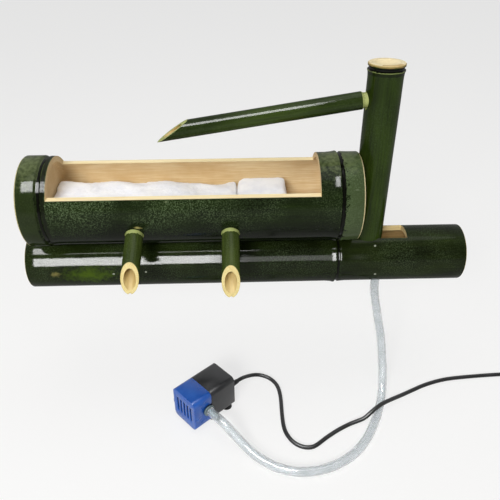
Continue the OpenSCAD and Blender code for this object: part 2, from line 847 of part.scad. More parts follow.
module pump_bushes() {
    color([0.15, 0.15, 0.15])
    in_pump()
        for (y = [volute_front + 0.4, well_back - bearing_len + 0.2])
            along(y, y + bearing_len - 0.6)
                difference() {
                    circle(bush_r);
                    circle(d = shaft_d + 2 * fit);
                }
}

module pump_rotor() {
    color([0.18, 0.18, 0.2])
    in_pump()
        along(cover_depth + 1, well_back - bearing_len - 0.6)
            difference() {
                circle(d = rotor_d);
                circle(d = shaft_d + 2 * turn_fit);
            }
}

module pump_impeller() {
    y0 = volute_front + bearing_len + 0.6;
    color([0.85, 0.85, 0.82])
    in_pump() {
        along(cover_depth - 2, cover_depth - 0.6)
            difference() {
                circle(d = impeller_d);
                circle(d = shaft_d + 2 * turn_fit);
            }
        along(y0, cover_depth + 1)
            difference() {
                circle(hub_r);
                circle(d = shaft_d + 2 * turn_fit);
            }
        for (a = [0 : 60 : 300])
            along(y0, cover_depth - 2)
                rotate(a)
                    translate([hub_r - 0.3, -0.7])
                        square([impeller_d / 2 - hub_r - 0.2, 1.4]);
    }
}

module suction_cups() {
    color([0.1, 0.1, 0.1])
    in_pump()
        for (x = [-cup_x, cup_x], y = [cover_depth + 7, housing_back - 7])
            translate([x, y, 0])
                difference() {
                    turned([[0, 0], [6.6, 0], [6.4, 0.8], [3.4, cup_h - 1.4], [3, cup_h], [1.5, cup_h],
                        [1.5, cup_h + 1.3], [0, cup_h + 1.3]]);
                    turned([[0, -over], [5.8, -over], [5.6, 0], [0, 2]]);
                }
}

module cable_gland() {
    color([0.1, 0.1, 0.1])
    in_pump()
        translate([0, housing_back, gland_z])
            rotate([-90, 0, 0])
                turned([[0, 0], [gland_r, 0], [gland_r, 2], [gland_r - 1, 3], [cable_r + 0.5, gland_len],
                    [0, gland_len]]);
}

cable_path = finer(concat([to_world([0, housing_back + gland_len, gland_z]),
    to_world([0, housing_back + gland_len + 9, gland_z - 1])], cable_route,
    [[coil_at[0] - 14, coil_at[1], coil_low], [coil_at[0], coil_at[1], coil_low]]));
module cable_run() {
    color([0.08, 0.08, 0.08])
        cord(cable_path, cable_r, 8, [0, 0, 1]);
}

// the coil: three turns inwards on the lower layer, a climb, and three turns outwards on the upper one
function ease(t) = t <= 0 ? 0 : t >= 1 ? 1 : t * t * (3 - 2 * t);
function coil_point(t) = let (r = t < coil_turns ? coil_r - coil_step * t
        : coil_in + coil_step * (t - coil_turns),
    z = coil_low + coil_step * ease((t - coil_turns + 0.3) / 0.6), a = 360 * t - 90)
    [coil_mid[0] + r * cos(a), coil_mid[1] + r * sin(a), z];
coil_end = 0.003;
coil_path = concat([coil_point(0), coil_point(coil_end)],
    [for (i = [1 : 48 * coil_turns - 1]) coil_point(i / 24)],
    [coil_point(2 * coil_turns - coil_end), coil_point(2 * coil_turns)]);
coil_gap = min([for (i = [0 : len(coil_path) - 1], j = [i + 12 : len(coil_path) - 1])
    if (j < len(coil_path)) norm(coil_path[i] - coil_path[j])]) - cable_d;
module cable_coil() {
    color([0.08, 0.08, 0.08])
        cord(coil_path, cable_r, 6, [0, 0, 1]);
}

module cable_tie() {
    inner = coil_in + coil_step / 2 - cable_r - rest;
    outer = coil_r - coil_step / 2 + cable_r + rest;
    low = coil_low - cable_r - rest;
    high = coil_high + cable_r + rest;
    color([0.15, 0.15, 0.15])
    translate([coil_mid[0], coil_mid[1], 0]) {
        difference() {
            translate([-tie_w / 2, inner - tie_t, low - tie_t])
                cube([tie_w, outer - inner + 2 * tie_t, high - low + 2 * tie_t]);
            translate([-tie_w, inner, low])
                cube([2 * tie_w, outer - inner, high - low]);
        }
        translate([-tie_w / 2 - 1, outer + tie_t - 0.2, high - 4])
            cube([tie_w + 2, 4, 5]);
    }
}

cable_end = finer([[coil_at[0], coil_at[1], coil_high], [coil_at[0] + 8, coil_at[1], coil_high],
    [coil_at[0] + 22, coil_at[1] - 0.4, coil_high - 3], [coil_at[0] + 38, coil_at[1] - 0.8, plug_z - 2],
    [relief_from - 8, coil_at[1] - 1, plug_z], [relief_from, coil_at[1] - 1, plug_z]]);
module cable_tail() {
    color([0.08, 0.08, 0.08])
        cord(cable_end, cable_r, 8, [0, 0, 1]);
}

// places a piece on the plug's axis: Z out of the pins
module in_plug(z) {
    translate([relief_from + z, coil_at[1] - 1, plug_z])
        rotate([0, 90, 0])
            children();
}

module plug_relief() {
    color([0.08, 0.08, 0.08])
    in_plug(0)
        turned([[0, 0], [cable_r + 0.7, 0], [cable_r + 2.4, relief_len], [0, relief_len]]);
}

module plug_body() {
    color([0.08, 0.08, 0.08])
    in_plug(relief_len)
        difference() {
            linear_extrude(plug_len)
                face(plug_h, plug_w, plug_h / 2 - 0.5);
            // waist where the fingers hold
            for (y = [-1, 1])
                translate([0, y * (plug_w / 2 + 13), -over])
                    cylinder(h = plug_len * 0.5, r = 16);
            for (y = [-1, 1])
                translate([0, y * pin_pitch / 2, plug_len - 6])
                    cylinder(h = 8, d = pin_d + 2 * fit);
        }
}

module plug_pins() {
    color([0.8, 0.8, 0.78])
    for (y = [-1, 1])
        in_plug(relief_len + plug_len - 6)
            translate([0, y * pin_pitch / 2, 0]) {
                cylinder(h = 23.5, d = pin_d);
                translate([0, 0, 23.5])
                    cylinder(h = 1.5, d1 = pin_d, d2 = pin_d - 1.6);
            }
}

echo(coil_gap_mm = coil_gap, hose_length_mm = run_length(hose_path), cable_run_mm = run_length(cable_path),
    coil_length_mm = run_length(coil_path), cable_tail_mm = run_length(cable_end));
echo(trough_x = trough_x, trough_z = trough_z, spout_z = spout_z, riser_top = riser_top, screw_y = screw_y,
    riser_foot = riser_foot, bung_top = bung_top, floss_half = floss_half, hose_turn = hose_turn);

base_culm();
trough_culm();
trough_screws();
front_spout_left();
front_spout_right();
riser_culm();
riser_bung();
upper_spout();
floss_pad_long();
floss_pad_short();
hose_riser();
hose_free();
pump_housing();
pump_stator();
pump_winding();
pump_potting();
pump_volute();
pump_nipple();
pump_cover();
pump_shaft();
pump_bushes();
pump_rotor();
pump_impeller();
suction_cups();
cable_gland();
cable_run();
cable_coil();
cable_tie();
cable_tail();
plug_relief();
plug_body();
plug_pins();
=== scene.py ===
import math

import bpy
from mathutils import Euler, Matrix, Vector


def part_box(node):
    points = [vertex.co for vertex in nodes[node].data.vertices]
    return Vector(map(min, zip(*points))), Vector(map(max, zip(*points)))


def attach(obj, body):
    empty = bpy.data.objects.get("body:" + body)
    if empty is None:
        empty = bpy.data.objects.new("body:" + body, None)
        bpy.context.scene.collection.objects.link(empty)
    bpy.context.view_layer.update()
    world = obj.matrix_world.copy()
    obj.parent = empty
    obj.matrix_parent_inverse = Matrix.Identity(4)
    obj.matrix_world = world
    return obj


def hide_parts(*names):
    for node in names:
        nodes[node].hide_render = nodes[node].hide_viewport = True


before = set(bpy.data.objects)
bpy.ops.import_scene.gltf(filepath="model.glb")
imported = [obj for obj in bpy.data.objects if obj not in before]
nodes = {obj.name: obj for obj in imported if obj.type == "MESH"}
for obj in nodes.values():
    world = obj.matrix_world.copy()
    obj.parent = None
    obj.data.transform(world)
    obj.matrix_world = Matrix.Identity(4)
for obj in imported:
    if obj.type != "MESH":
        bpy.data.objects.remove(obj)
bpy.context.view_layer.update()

# camera
# The view looks down from the front at about 32 degrees, from above the top of the riser, and is
# aimed at the middle of the base culm.
eye = (0, -0.54548, 0.37978)
yaw, pitch, roll = math.radians(1.372), math.radians(32.102), math.radians(-0.386)
forward = Vector((math.sin(yaw) * math.cos(pitch), math.cos(yaw) * math.cos(pitch), -math.sin(pitch)))
level = forward.cross(Vector((0, 0, 1))).normalized()
above = level.cross(forward)
side = level * math.cos(roll) + above * math.sin(roll)
top = above * math.cos(roll) - level * math.sin(roll)
camera = bpy.data.objects.new("camera", bpy.data.cameras.new("camera"))
bpy.context.collection.objects.link(camera)
camera.data.sensor_width = 36
camera.data.lens = 39.5
camera.data.clip_end = 20
view = Matrix((side, top, -forward)).transposed().to_4x4()
view.translation = eye
camera.matrix_world = view
bpy.context.scene.camera = camera
bpy.context.scene.view_settings.view_transform = "Standard"

# floor and light
# A plain white floor at the level where the pump and the cable lie, in a pale studio, with a
# softbox at the front left and a broad one overhead. Three panels, like a window, its curtain and
# a skylight, show only as streaks on the varnish.
STUDIO_GREY = 0.25
FLOOR_HEIGHT = -0.1502
# the share of the floor's white that is its own and not the lamps'
OWN_WHITE = 0.7


def srgb(code):
    """A hex colour as the linear values that a shader takes."""
    parts = [int(code[i : i + 2], 16) / 255 for i in (0, 2, 4)]
    return (*[c / 12.92 if c <= 0.04045 else ((c + 0.055) / 1.055) ** 2.4 for c in parts], 1)


def feed(tree, node, inputs):
    """Gives a node's inputs their values, or links them to another node's output."""
    for key, value in inputs.items():
        if isinstance(value, bpy.types.NodeSocket):
            tree.links.new(value, node.inputs[key])
        else:
            node.inputs[key].default_value = value


def add(tree, kind, inputs=None, **settings):
    """Adds a node with its settings and its inputs."""
    node = tree.nodes.new("ShaderNode" + kind)
    for key, value in settings.items():
        setattr(node, key, value)
    feed(tree, node, inputs or {})
    return node


def deselect():
    if bpy.context.object and bpy.context.object.mode != "OBJECT":
        bpy.ops.object.mode_set(mode="OBJECT")
    bpy.ops.object.select_all(action="DESELECT")


world = bpy.data.worlds.new("studio")
bpy.context.scene.world = world
world.use_nodes = True
tree = world.node_tree
tree.nodes.clear()
path = add(tree, "LightPath")
seen = add(tree, "Math", {0: path.outputs["Is Camera Ray"], 1: path.outputs["Is Transmission Ray"]},
           operation="MAXIMUM")
# the studio is white behind the piece and dim behind the camera, as a gloss finish shows
turned = add(tree, "SeparateXYZ", {0: add(tree, "TexCoord").outputs["Generated"]})
behind = add(tree, "MapRange", {0: turned.outputs["Y"], 1: -0.5, 2: 0.3})
mirrored = add(tree, "Math", {0: path.outputs["Is Glossy Ray"], 1: behind.outputs[0]}, operation="MULTIPLY")
white = add(tree, "Math", {0: seen.outputs[0], 1: mirrored.outputs[0]}, operation="MAXIMUM")
grey = (STUDIO_GREY, STUDIO_GREY, STUDIO_GREY, 1)
tone = add(tree, "Mix", {0: white.outputs[0], 6: grey, 7: (1, 1, 1, 1)}, data_type="RGBA")
background = add(tree, "Background", {"Color": tone.outputs[2], "Strength": 1.0})
tree.links.new(background.outputs[0], add(tree, "OutputWorld").inputs["Surface"])

deselect()
bpy.ops.mesh.primitive_plane_add(size=24, location=(0, 0, FLOOR_HEIGHT))
floor = bpy.context.object
floor.name = "floor"
# Matt white paint: most of its white is its own, so that it stays white round a soft shadow.
paint = bpy.data.materials.new("matt_white_paint")
paint.use_nodes = True
tree = paint.node_tree
tree.nodes.clear()
path = add(tree, "LightPath")
seen = add(tree, "Math", {0: path.outputs["Is Camera Ray"], 1: path.outputs["Is Glossy Ray"]},
           operation="MAXIMUM")
seen = add(tree, "Math", {0: seen.outputs[0], 1: path.outputs["Is Transmission Ray"]}, operation="MAXIMUM")
own = add(tree, "Math", {0: seen.outputs[0], 1: OWN_WHITE}, operation="MULTIPLY")
lit = add(tree, "BsdfDiffuse", {"Color": srgb("F2F1EE")})
glow = add(tree, "Emission", {"Color": (1, 1, 1, 1), "Strength": 1.0})
mixed = add(tree, "MixShader", {0: own.outputs[0], 1: lit.outputs[0], 2: glow.outputs[0]})
tree.links.new(mixed.outputs[0], add(tree, "OutputMaterial").inputs["Surface"])
floor.data.materials.append(paint)


def softbox(name, at, target, width, height, power, mirrored_only=False):
    """An area lamp that faces its target, or a panel that only a gloss finish mirrors."""
    lamp = bpy.data.lights.new(name, "AREA")
    lamp.shape, lamp.size, lamp.size_y, lamp.energy = "RECTANGLE", width, height, power
    box = bpy.data.objects.new(name, lamp)
    bpy.context.collection.objects.link(box)
    box.location = at
    box.rotation_mode = "QUATERNION"
    box.rotation_quaternion = (Vector(target) - Vector(at)).to_track_quat("-Z", "Y")
    box.visible_diffuse = not mirrored_only
    return box


key = softbox("front_left_softbox", (-0.47, -1.55, 0.98), (-0.05, 0, 0.08), 0.65, 0.5, 26)
# in the gloss the window panel shows in its place
key.visible_glossy = False
softbox("overhead_softbox", (0.1, -0.1, 1.9), (0, 0, 0.05), 1.6, 1.2, 11)
window_panel = softbox("window_panel", (-0.53, -1.55, 0.55), (-0.53, 0, 0.08), 0.95, 0.9, 192,
                       mirrored_only=True)
curtain_panel = softbox("curtain_panel", (0.2, -1.55, 0.45), (0.2, 0, 0.08), 0.5, 0.6, 8,
                        mirrored_only=True)
softbox("skylight_panel", (-0.42, -0.6, 1.22), (-0.42, 0, 0.14), 0.94, 0.56, 78, mirrored_only=True)

# cords
# The pump's hose is clear flexible hose, 10.5 mm outside and 7.5 mm inside. It leaves the base
# culm's underside, sinks to the floor and comes round to the pump's nipple. The mains cable is
# 5 mm round black flex; what the view doesn't take in is coiled and tied beside it.
PUMP_AT, PUMP_TURN, FLOOR_Z = (-68, -95), math.radians(-48), -150
# the height, in millimetres, of each one's middle where it rests on the floor
HOSE_LIES, CABLE_LIES = -144.7, -147.5
hose_walls, cable_r = (0.00525, 0.00375), 0.0025


def from_pump(x, y, z):
    """A point of the pump's own frame, in the part's frame, in millimetres."""
    c, s = math.cos(PUMP_TURN), math.sin(PUMP_TURN)
    return (PUMP_AT[0] + x * c - y * s, PUMP_AT[1] + x * s + y * c, FLOOR_Z + z)


def halfway(line):
    """The points of a line with one more between each two, on the same smooth curve."""
    line = [Vector(p) for p in line]
    out = []
    for i in range(len(line) - 1):
        a, b = line[max(i - 1, 0)], line[i]
        c, d = line[i + 1], line[min(i + 2, len(line) - 1)]
        out += [b, (9 * (b + c) - a - d) / 16]
    return out + [line[-1]]


def swept(name, line, rings, sides):
    """A tube along a line. rings are its radii from the outside in, one for a solid cord."""
    line = [Vector(p) for p in line]
    n = len(line)
    steps = [(b - a).normalized() for a, b in zip(line, line[1:])]
    tangents = steps[:1] + [(a + b).normalized() for a, b in zip(steps[1:], steps)] + steps[-1:]
    u = Vector((0, 1, 0))
    points = {r: [] for r in rings}
    for p, t in zip(line, tangents):
        u = (u - u.dot(t) * t).normalized()
        v = t.cross(u)
        for r in rings:
            for j in range(sides):
                a = 2 * math.pi * j / sides
                points[r].append(p + r * (math.cos(a) * u + math.sin(a) * v))
    verts = [p for r in rings for p in points[r]]
    faces = []
    for k in range(len(rings)):
        for i in range(n - 1):
            for j in range(sides):
                a, b = k * n * sides + i * sides + j, k * n * sides + i * sides + (j + 1) % sides
                faces.append((a, b, b + sides, a + sides) if k == 0 else (a, a + sides, b + sides, b))
    if len(rings) == 1:
        faces.append(tuple(reversed(range(sides))))
        faces.append(tuple(range((n - 1) * sides, n * sides)))
    else:
        m = n * sides
        for j in range(sides):
            k = (j + 1) % sides
            faces.append((j, j + m, k + m, k))
            faces.append((m - sides + j, m - sides + k, 2 * m - sides + k, 2 * m - sides + j))
    mesh = bpy.data.meshes.new(name)
    mesh.from_pydata(verts, [], faces)
    piece = bpy.data.objects.new(name, mesh)
    bpy.context.collection.objects.link(piece)
    deselect()
    piece.select_set(True)
    bpy.context.view_layer.objects.active = piece
    bpy.ops.object.shade_smooth_by_angle(angle=math.radians(40))
    return piece


def metres(line):
    return [tuple(c / 1000 for c in p) for p in line]


nipple_y, nipple_z, flange_x = 20, 27, 23
hose_line = metres([(166, 0, -3), (166, 0, -15), (167, -1, -27), (170, -4, -43), (174, -10, -64),
    (177, -17, -79), (178.5, -25, -94), (179, -33, -107), (179, -42, -119), (178, -51, -130),
    (176, -61, -138), (172, -73, -143.5), (167, -85, HOSE_LIES), (161, -98, HOSE_LIES),
    (152, -114, HOSE_LIES), (142, -129, HOSE_LIES), (127, -145, HOSE_LIES), (108, -158, HOSE_LIES),
    (86, -166, HOSE_LIES), (62, -168, HOSE_LIES), (38, -162, -144.2), (18, -150, -142.5),
    (2, -136, -138.5), from_pump(flange_x + 27, nipple_y, nipple_z),
    from_pump(flange_x + 12, nipple_y, nipple_z), from_pump(flange_x, nipple_y, nipple_z)])
hose_line = halfway(halfway(hose_line))
hose = swept("pump_hose", hose_line, hose_walls, 24)

gland_y, gland_z = 84, 14
cable_route = metres([from_pump(0, gland_y, gland_z), from_pump(0, gland_y + 9, gland_z - 1),
    (12, -23, -142.5), (24, -19, -146), (37, -24, CABLE_LIES), (46, -37, CABLE_LIES),
    (49, -55, CABLE_LIES), (49, -75, CABLE_LIES), (49, -95, CABLE_LIES), (51, -111, CABLE_LIES),
    (58, -125, CABLE_LIES), (69, -133, CABLE_LIES), (82, -133, CABLE_LIES), (97, -122, CABLE_LIES),
    (113, -111, CABLE_LIES), (130, -102, -147.2), (146, -98, -143.5), (156, -93, -138),
    (166, -86, -136), (180, -76, -138.5), (202, -61, -145), (223, -49, CABLE_LIES),
    (241, -41, CABLE_LIES), (269, -33, CABLE_LIES), (308, -29, CABLE_LIES), (342, -27, CABLE_LIES),
    (385, -26.4, -147), (406, -26.4, -146), (420, -26.4, -146)])
# the coil winds in on the floor and out again on top of itself
coil_r, coil_step, coil_turns, points_a_turn = 0.036, 0.0059, 3, 24
coil_middle, coil_low = Vector((0.420, -0.0264 + coil_r, 0)), -0.146


def coil_point(t):
    """The coil's middle line after t turns; it climbs a layer at its innermost turn."""
    innermost = coil_r - coil_step * coil_turns
    r = coil_r - coil_step * t if t < coil_turns else innermost + coil_step * (t - coil_turns)
    k = min(max((t - coil_turns + 0.3) / 0.6, 0), 1)
    a = 2 * math.pi * t - math.pi / 2
    up = coil_step * k * k * (3 - 2 * k)
    return coil_middle + Vector((r * math.cos(a), r * math.sin(a), coil_low + up))


coil_line = [coil_point(i / points_a_turn) for i in range(1, 2 * points_a_turn * coil_turns)]
coil_high = (coil_low + coil_step) * 1000
cable_end = metres([(420, -26.4, coil_high), (428, -26.4, coil_high), (442, -26.8, coil_high - 3),
    (458, -27.2, -145), (472, -27.4, -143), (480, -27.4, -143)])
cable_line = halfway(halfway(cable_route)) + coil_line + halfway(halfway(cable_end))
cable = swept("mains_cable", cable_line, (cable_r,), 12)
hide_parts("cable_run", "cable_coil", "cable_tail")
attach(cable, "frame")
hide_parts("hose_free")
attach(hose, "frame")


# base culm
# The carrier is one length of green bamboo, 64 mm through with a 6 mm wall, sawn square at both
# ends. Its top is planed for the trough, its underside has two planed seats, and it is bored and
# slotted for the riser and the hose. Its rind is varnished.
def settled(piece):
    """Makes a piece the only one that the next operator acts on."""
    deselect()
    piece.select_set(True)
    bpy.context.view_layer.objects.active = piece
    return piece


def grown(name, rings, sides=96, longest=0.012):
    """A closed solid along Z, drawn up ring by ring from a disc; rings are (height, radius)."""
    full = [rings[0]]
    for (z0, r0), (z1, r1) in zip(rings, rings[1:]):
        n = max(1, math.ceil((z1 - z0) / longest))
        full += [(z0 + (z1 - z0) * i / n, r0 + (r1 - r0) * i / n) for i in range(1, n + 1)]
    deselect()
    bpy.ops.mesh.primitive_circle_add(vertices=sides, radius=full[0][1], fill_type="NGON",
                                      location=(0, 0, full[0][0]))
    piece = bpy.context.object
    piece.name = name
    bpy.ops.object.transform_apply(location=True)
    bpy.ops.object.mode_set(mode="EDIT")
    bpy.ops.mesh.select_all(action="SELECT")
    for (z0, r0), (z1, r1) in zip(full, full[1:]):
        bpy.ops.mesh.extrude_region_move(TRANSFORM_OT_translate={"value": (0, 0, z1 - z0)})
        bpy.ops.transform.resize(value=(r1 / r0, r1 / r0, 1), center_override=(0, 0, z1))
    bpy.ops.mesh.select_all(action="SELECT")
    bpy.ops.mesh.normals_make_consistent(inside=False)
    bpy.ops.object.mode_set(mode="OBJECT")
    return piece


def laid(piece, at, turn):
    """Turns a piece and moves it to its place, which goes into its mesh."""
    settled(piece)
    piece.rotation_euler = turn
    piece.location = at
    bpy.ops.object.transform_apply(location=True, rotation=True, scale=True)
    return piece


def waved(piece, height, size):
    """Gives a culm the slight unevenness of a grown one."""
    clouds = bpy.data.textures.new("growth", "CLOUDS")
    clouds.noise_scale = size
    settled(piece)
    wave = piece.modifiers.new("growth", "DISPLACE")
    wave.texture, wave.strength, wave.mid_level = clouds, height, 0.5
    bpy.ops.object.modifier_apply(modifier="growth")


def bore(radius, z0, z1, round0=0.0, round1=0.0):
    """The rings of a hollow between two heights, its closed ends rounded."""
    low = [(z0 + round0 * (1 - math.sin(a)), radius - round0 * (1 - math.cos(a)))
           for a in (math.radians(d) for d in (90, 72, 54, 36, 18, 0))] if round0 else [(z0, radius)]
    high = [(z1 - round1 * (1 - math.sin(a)), radius - round1 * (1 - math.cos(a)))
            for a in (math.radians(d) for d in (0, 18, 36, 54, 72, 90))] if round1 else [(z1, radius)]
    return low + high


def drill(at, turn, start, end, radius, far_radius=None, sides=64):
    """A round cutter on an axis, from one depth to another."""
    deselect()
    middle = Vector(at) + Euler(turn).to_matrix() @ Vector((0, 0, (start + end) / 2))
    bpy.ops.mesh.primitive_cone_add(vertices=sides, radius1=radius, radius2=far_radius or radius,
                                    depth=end - start, location=middle, rotation=turn)
    bpy.ops.object.transform_apply(location=True, rotation=True, scale=True)
    return bpy.context.object


def plane_iron(low, high, at=(0, 0, 0), turn=(0, 0, 0)):
    """A square cutter between two corners, given in its own frame."""
    deselect()
    middle, size = (Vector(low) + Vector(high)) / 2, Vector(high) - Vector(low)
    bpy.ops.mesh.primitive_cube_add(size=1, location=Vector(at) + Euler(turn).to_matrix() @ middle,
                                    rotation=turn, scale=size)
    bpy.ops.object.transform_apply(location=True, rotation=True, scale=True)
    return bpy.context.object


def cut(piece, *cutters):
    """Takes each cutter's shape out of the piece."""
    for cutter in cutters:
        settled(piece)
        saw = piece.modifiers.new("saw", "BOOLEAN")
        saw.operation, saw.solver, saw.object = "DIFFERENCE", "EXACT", cutter
        bpy.ops.object.modifier_apply(modifier="saw")
        bpy.data.objects.remove(cutter)


# the order of a culm's finishes
RIND, SAWN, LINING, KNIFED = range(4)


def dressed(piece, at, turn, outer, inner, finishes, planed=(), bevels=()):
    """Gives each face its finish by its place on the culm, between two radii.

    planed are the flat cuts, as (normal, distance), and bevels the rims that a knife has bared, as
    (point, turn, radius).
    """
    for finish in finishes:
        piece.data.materials.append(finish)
    to_culm = Euler(turn).to_matrix().transposed()
    heights = [(to_culm @ (v.co - Vector(at))).z for v in piece.data.vertices]
    # how deep the rounding of an end, the waves of the rind and a knife's bevel go
    rounding, waves, knife = 0.0013, 0.0019, 0.0035
    low_end, high_end = min(heights) + rounding, max(heights) - rounding
    for face in piece.data.polygons:
        p, n = to_culm @ (face.center - Vector(at)), to_culm @ face.normal
        r = math.hypot(p.x, p.y)
        outwards = (n.x * p.x + n.y * p.y) / max(r, 1e-6)
        flat = any(face.normal.dot(m) > 0.999 and abs(face.center.dot(m) - d) < 2e-4 for m, d in planed)
        sawn_edge = abs(n.z) > 0.3 and not low_end < p.z < high_end
        knifed = False
        for point, way, width in bevels:
            seen_along = Euler(way).to_matrix().transposed() @ (face.center - Vector(point))
            near = seen_along.z > 0 and math.hypot(seen_along.x, seen_along.y) < width
            knifed = knifed or (near and r > outer - knife and 0.1 < outwards < 0.95)
        if knifed:
            face.material_index = KNIFED
        elif r > outer - waves and outwards > 0.25 and not flat and not sawn_edge:
            face.material_index = RIND
        elif r < inner + 0.0004 and not flat and (outwards < -0.3 or r < inner - 0.0005):
            face.material_index = LINING
        else:
            face.material_index = SAWN
    settled(piece)
    bpy.ops.object.shade_smooth_by_angle(angle=math.radians(32))


def started(name):
    """A new material, its nodes, its shader and the place on the piece."""
    material = bpy.data.materials.new(name)
    material.use_nodes = True
    tree = material.node_tree
    return material, tree, tree.nodes["Principled BSDF"], add(tree, "TexCoord").outputs["Object"]


def bamboo(name, at, turn):
    """Starts a finish of bamboo: as started, and the place in the culm's own frame."""
    material, tree, shader, place = started(name)
    local = add(tree, "Mapping", {"Vector": place, "Location": at, "Rotation": turn}, vector_type="TEXTURE")
    return material, tree, shader, place, local.outputs[0]


def marked(tree, tone, place, ragged, marks):
    """Lays small natural marks, and patches of painted reflection, over a colour; a mark is (centre, radius,
    stretch along X, colour).
    """
    for centre, radius, stretch, colour in marks:
        off = add(tree, "VectorMath", {0: place, 1: centre}, operation="SUBTRACT").outputs[0]
        off = add(tree, "VectorMath", {0: off, 1: (1 / stretch, 1, 1)}, operation="MULTIPLY").outputs[0]
        off = add(tree, "VectorMath", {0: off}, operation="LENGTH").outputs["Value"]
        edge = add(tree, "MapRange", {0: ragged, 1: 0.3, 2: 0.7, 3: radius * 0.4, 4: radius * 1.5}).outputs[0]
        off = add(tree, "Math", {0: edge, 1: off}, operation="SUBTRACT").outputs[0]
        one = add(tree, "MapRange", {0: off, 1: -radius * 0.6, 2: radius * 0.9}).outputs[0]
        tone = add(tree, "Mix", {0: one, 6: tone, 7: srgb(colour)}, data_type="RGBA").outputs[2]
    return tone


# Varnished green rind: a dark skin with long fibre streaks under a hard gloss, its silica bloom
# left in dull grey speckles, black lacquer in the groove of each node. Towards the lower of the two
# heights given, the bloom fades and the rind darkens: painted shade on its lower parts.
def varnished_rind(name, at, turn, dark, green, bloom, seed, bloom_along=(), shade_and_bloom_above=None, scars=(),
                   marks=()):
    material, tree, shader, place, local = bamboo(name, at, turn)
    height = add(tree, "SeparateXYZ", {0: local}).outputs["Z"]
    shifted = add(tree, "VectorMath", {0: local, 1: (seed, seed, seed)}).outputs[0]
    fibres = add(tree, "VectorMath", {0: shifted, 1: (1, 1, 0.03)}, operation="MULTIPLY").outputs[0]
    clouds = add(tree, "VectorMath", {0: shifted, 1: (1, 1, 0.4)}, operation="MULTIPLY").outputs[0]
    # broad changes of green, 30 mm across, and fibre streaks 1.5 mm across
    patches = add(tree, "TexNoise", {"Vector": clouds, "Scale": 1000 / 30, "Detail": 2.0})
    patch = add(tree, "MapRange", {0: patches.outputs[0], 1: 0.35, 2: 0.68})
    streaks = add(tree, "TexNoise", {"Vector": fibres, "Scale": 1000 / 1.5, "Detail": 3.0, "Roughness": 0.6})
    streak = add(tree, "MapRange", {0: streaks.outputs[0], 1: 0.3, 2: 0.7, 3: 0.72, 4: 1.28})
    colour = add(tree, "Mix", {0: patch.outputs[0], 6: srgb(dark), 7: srgb(green)}, data_type="RGBA")
    tone = add(tree, "HueSaturation", {"Value": streak.outputs[0], "Color": colour.outputs[2]}).outputs[0]
    # bloom: speckles of 1.3 mm in patches of 45 mm
    grains = add(tree, "TexNoise", {"Vector": shifted, "Scale": 1000 / 1.3, "Detail": 3.0, "Roughness": 0.65})
    grain = add(tree, "MapRange", {0: grains.outputs[0], 1: 0.46, 2: 0.7})
    where = add(tree, "TexNoise", {"Vector": shifted, "Scale": 1000 / 45, "Detail": 2.0})
    spread = add(tree, "MapRange", {0: where.outputs[0], 1: 0.35, 2: 0.6, 3: 0.15, 4: 1.0})
    amount = add(tree, "Math", {0: grain.outputs[0], 1: spread.outputs[0]}, operation="MULTIPLY").outputs[0]
    amount = add(tree, "Math", {0: amount, 1: bloom}, operation="MULTIPLY").outputs[0]
    if bloom_along:
        # the ramp spans half a metre of culm
        half_metre = add(tree, "Math", {0: height, 1: 2.0}, operation="MULTIPLY").outputs[0]
        ramp = add(tree, "ValToRGB", {0: half_metre})
        ramp.color_ramp.elements.remove(ramp.color_ramp.elements[0])
        for place_along, share in bloom_along:
            ramp.color_ramp.elements.new(place_along * 2).color = (share, share, share, 1)
        amount = add(tree, "Math", {0: amount, 1: ramp.outputs[0]}, operation="MULTIPLY").outputs[0]
    if shade_and_bloom_above:
        low, high = shade_and_bloom_above
        level = add(tree, "SeparateXYZ", {0: place}).outputs["Z"]
        # painted shade: below the given heights the bloom fades and the rind darkens towards near black
        bloom_and_shade_by_height = add(tree, "MapRange", {0: level, 1: low, 2: high, 3: 0.12, 4: 1.0}).outputs[0]
        amount = add(tree, "Math", {0: amount, 1: bloom_and_shade_by_height}, operation="MULTIPLY").outputs[0]
        tone = add(tree, "Mix", {0: bloom_and_shade_by_height, 6: srgb("060A02"), 7: tone}, data_type="RGBA").outputs[2]
    tone = add(tree, "Mix", {0: amount, 6: tone, 7: srgb("677A55")}, data_type="RGBA").outputs[2]
    # rings of lacquer and bared skin along the culm, with a ragged edge
    ragged = add(tree, "TexNoise", {"Vector": shifted, "Scale": 1000 / 4, "Detail": 3.0}).outputs[0]
    tone = marked(tree, tone, place, ragged, marks)
    for middle, half, colour, share in scars:
        off = add(tree, "Math", {0: height, 1: middle}, operation="SUBTRACT").outputs[0]
        off = add(tree, "Math", {0: off}, operation="ABSOLUTE").outputs[0]
        edge = add(tree, "MapRange", {0: ragged, 1: 0.35, 2: 0.65, 3: half * 0.8, 4: half * 1.35}).outputs[0]
        off = add(tree, "Math", {0: edge, 1: off}, operation="SUBTRACT").outputs[0]
        one = add(tree, "MapRange", {0: off, 1: -0.0002, 2: 0.0003, 3: 0.0, 4: share}).outputs[0]
        tone = add(tree, "Mix", {0: one, 6: tone, 7: srgb(colour)}, data_type="RGBA").outputs[2]
    rough = add(tree, "MapRange", {0: amount, 1: 0, 2: 0.6, 3: 0.28, 4: 0.62}).outputs[0]
    relief = add(tree, "Math", {0: streaks.outputs[0], 1: grains.outputs[0]}).outputs[0]
    bump = add(tree, "Bump", {"Height": relief, "Strength": 0.18, "Distance": 0.0002}).outputs[0]
    # the bloom is dull: the varnish hardly covers it
    varnish = add(tree, "MapRange", {0: amount, 1: 0.0, 2: 0.45, 3: 0.22, 4: 0.06}).outputs[0]
    feed(tree, shader, {"Base Color": tone, "Roughness": rough, "Normal": bump, "Specular IOR Level": 0.0,
                        "Coat Weight": varnish, "Coat Roughness": 0.06, "Coat Normal": bump})
    return material


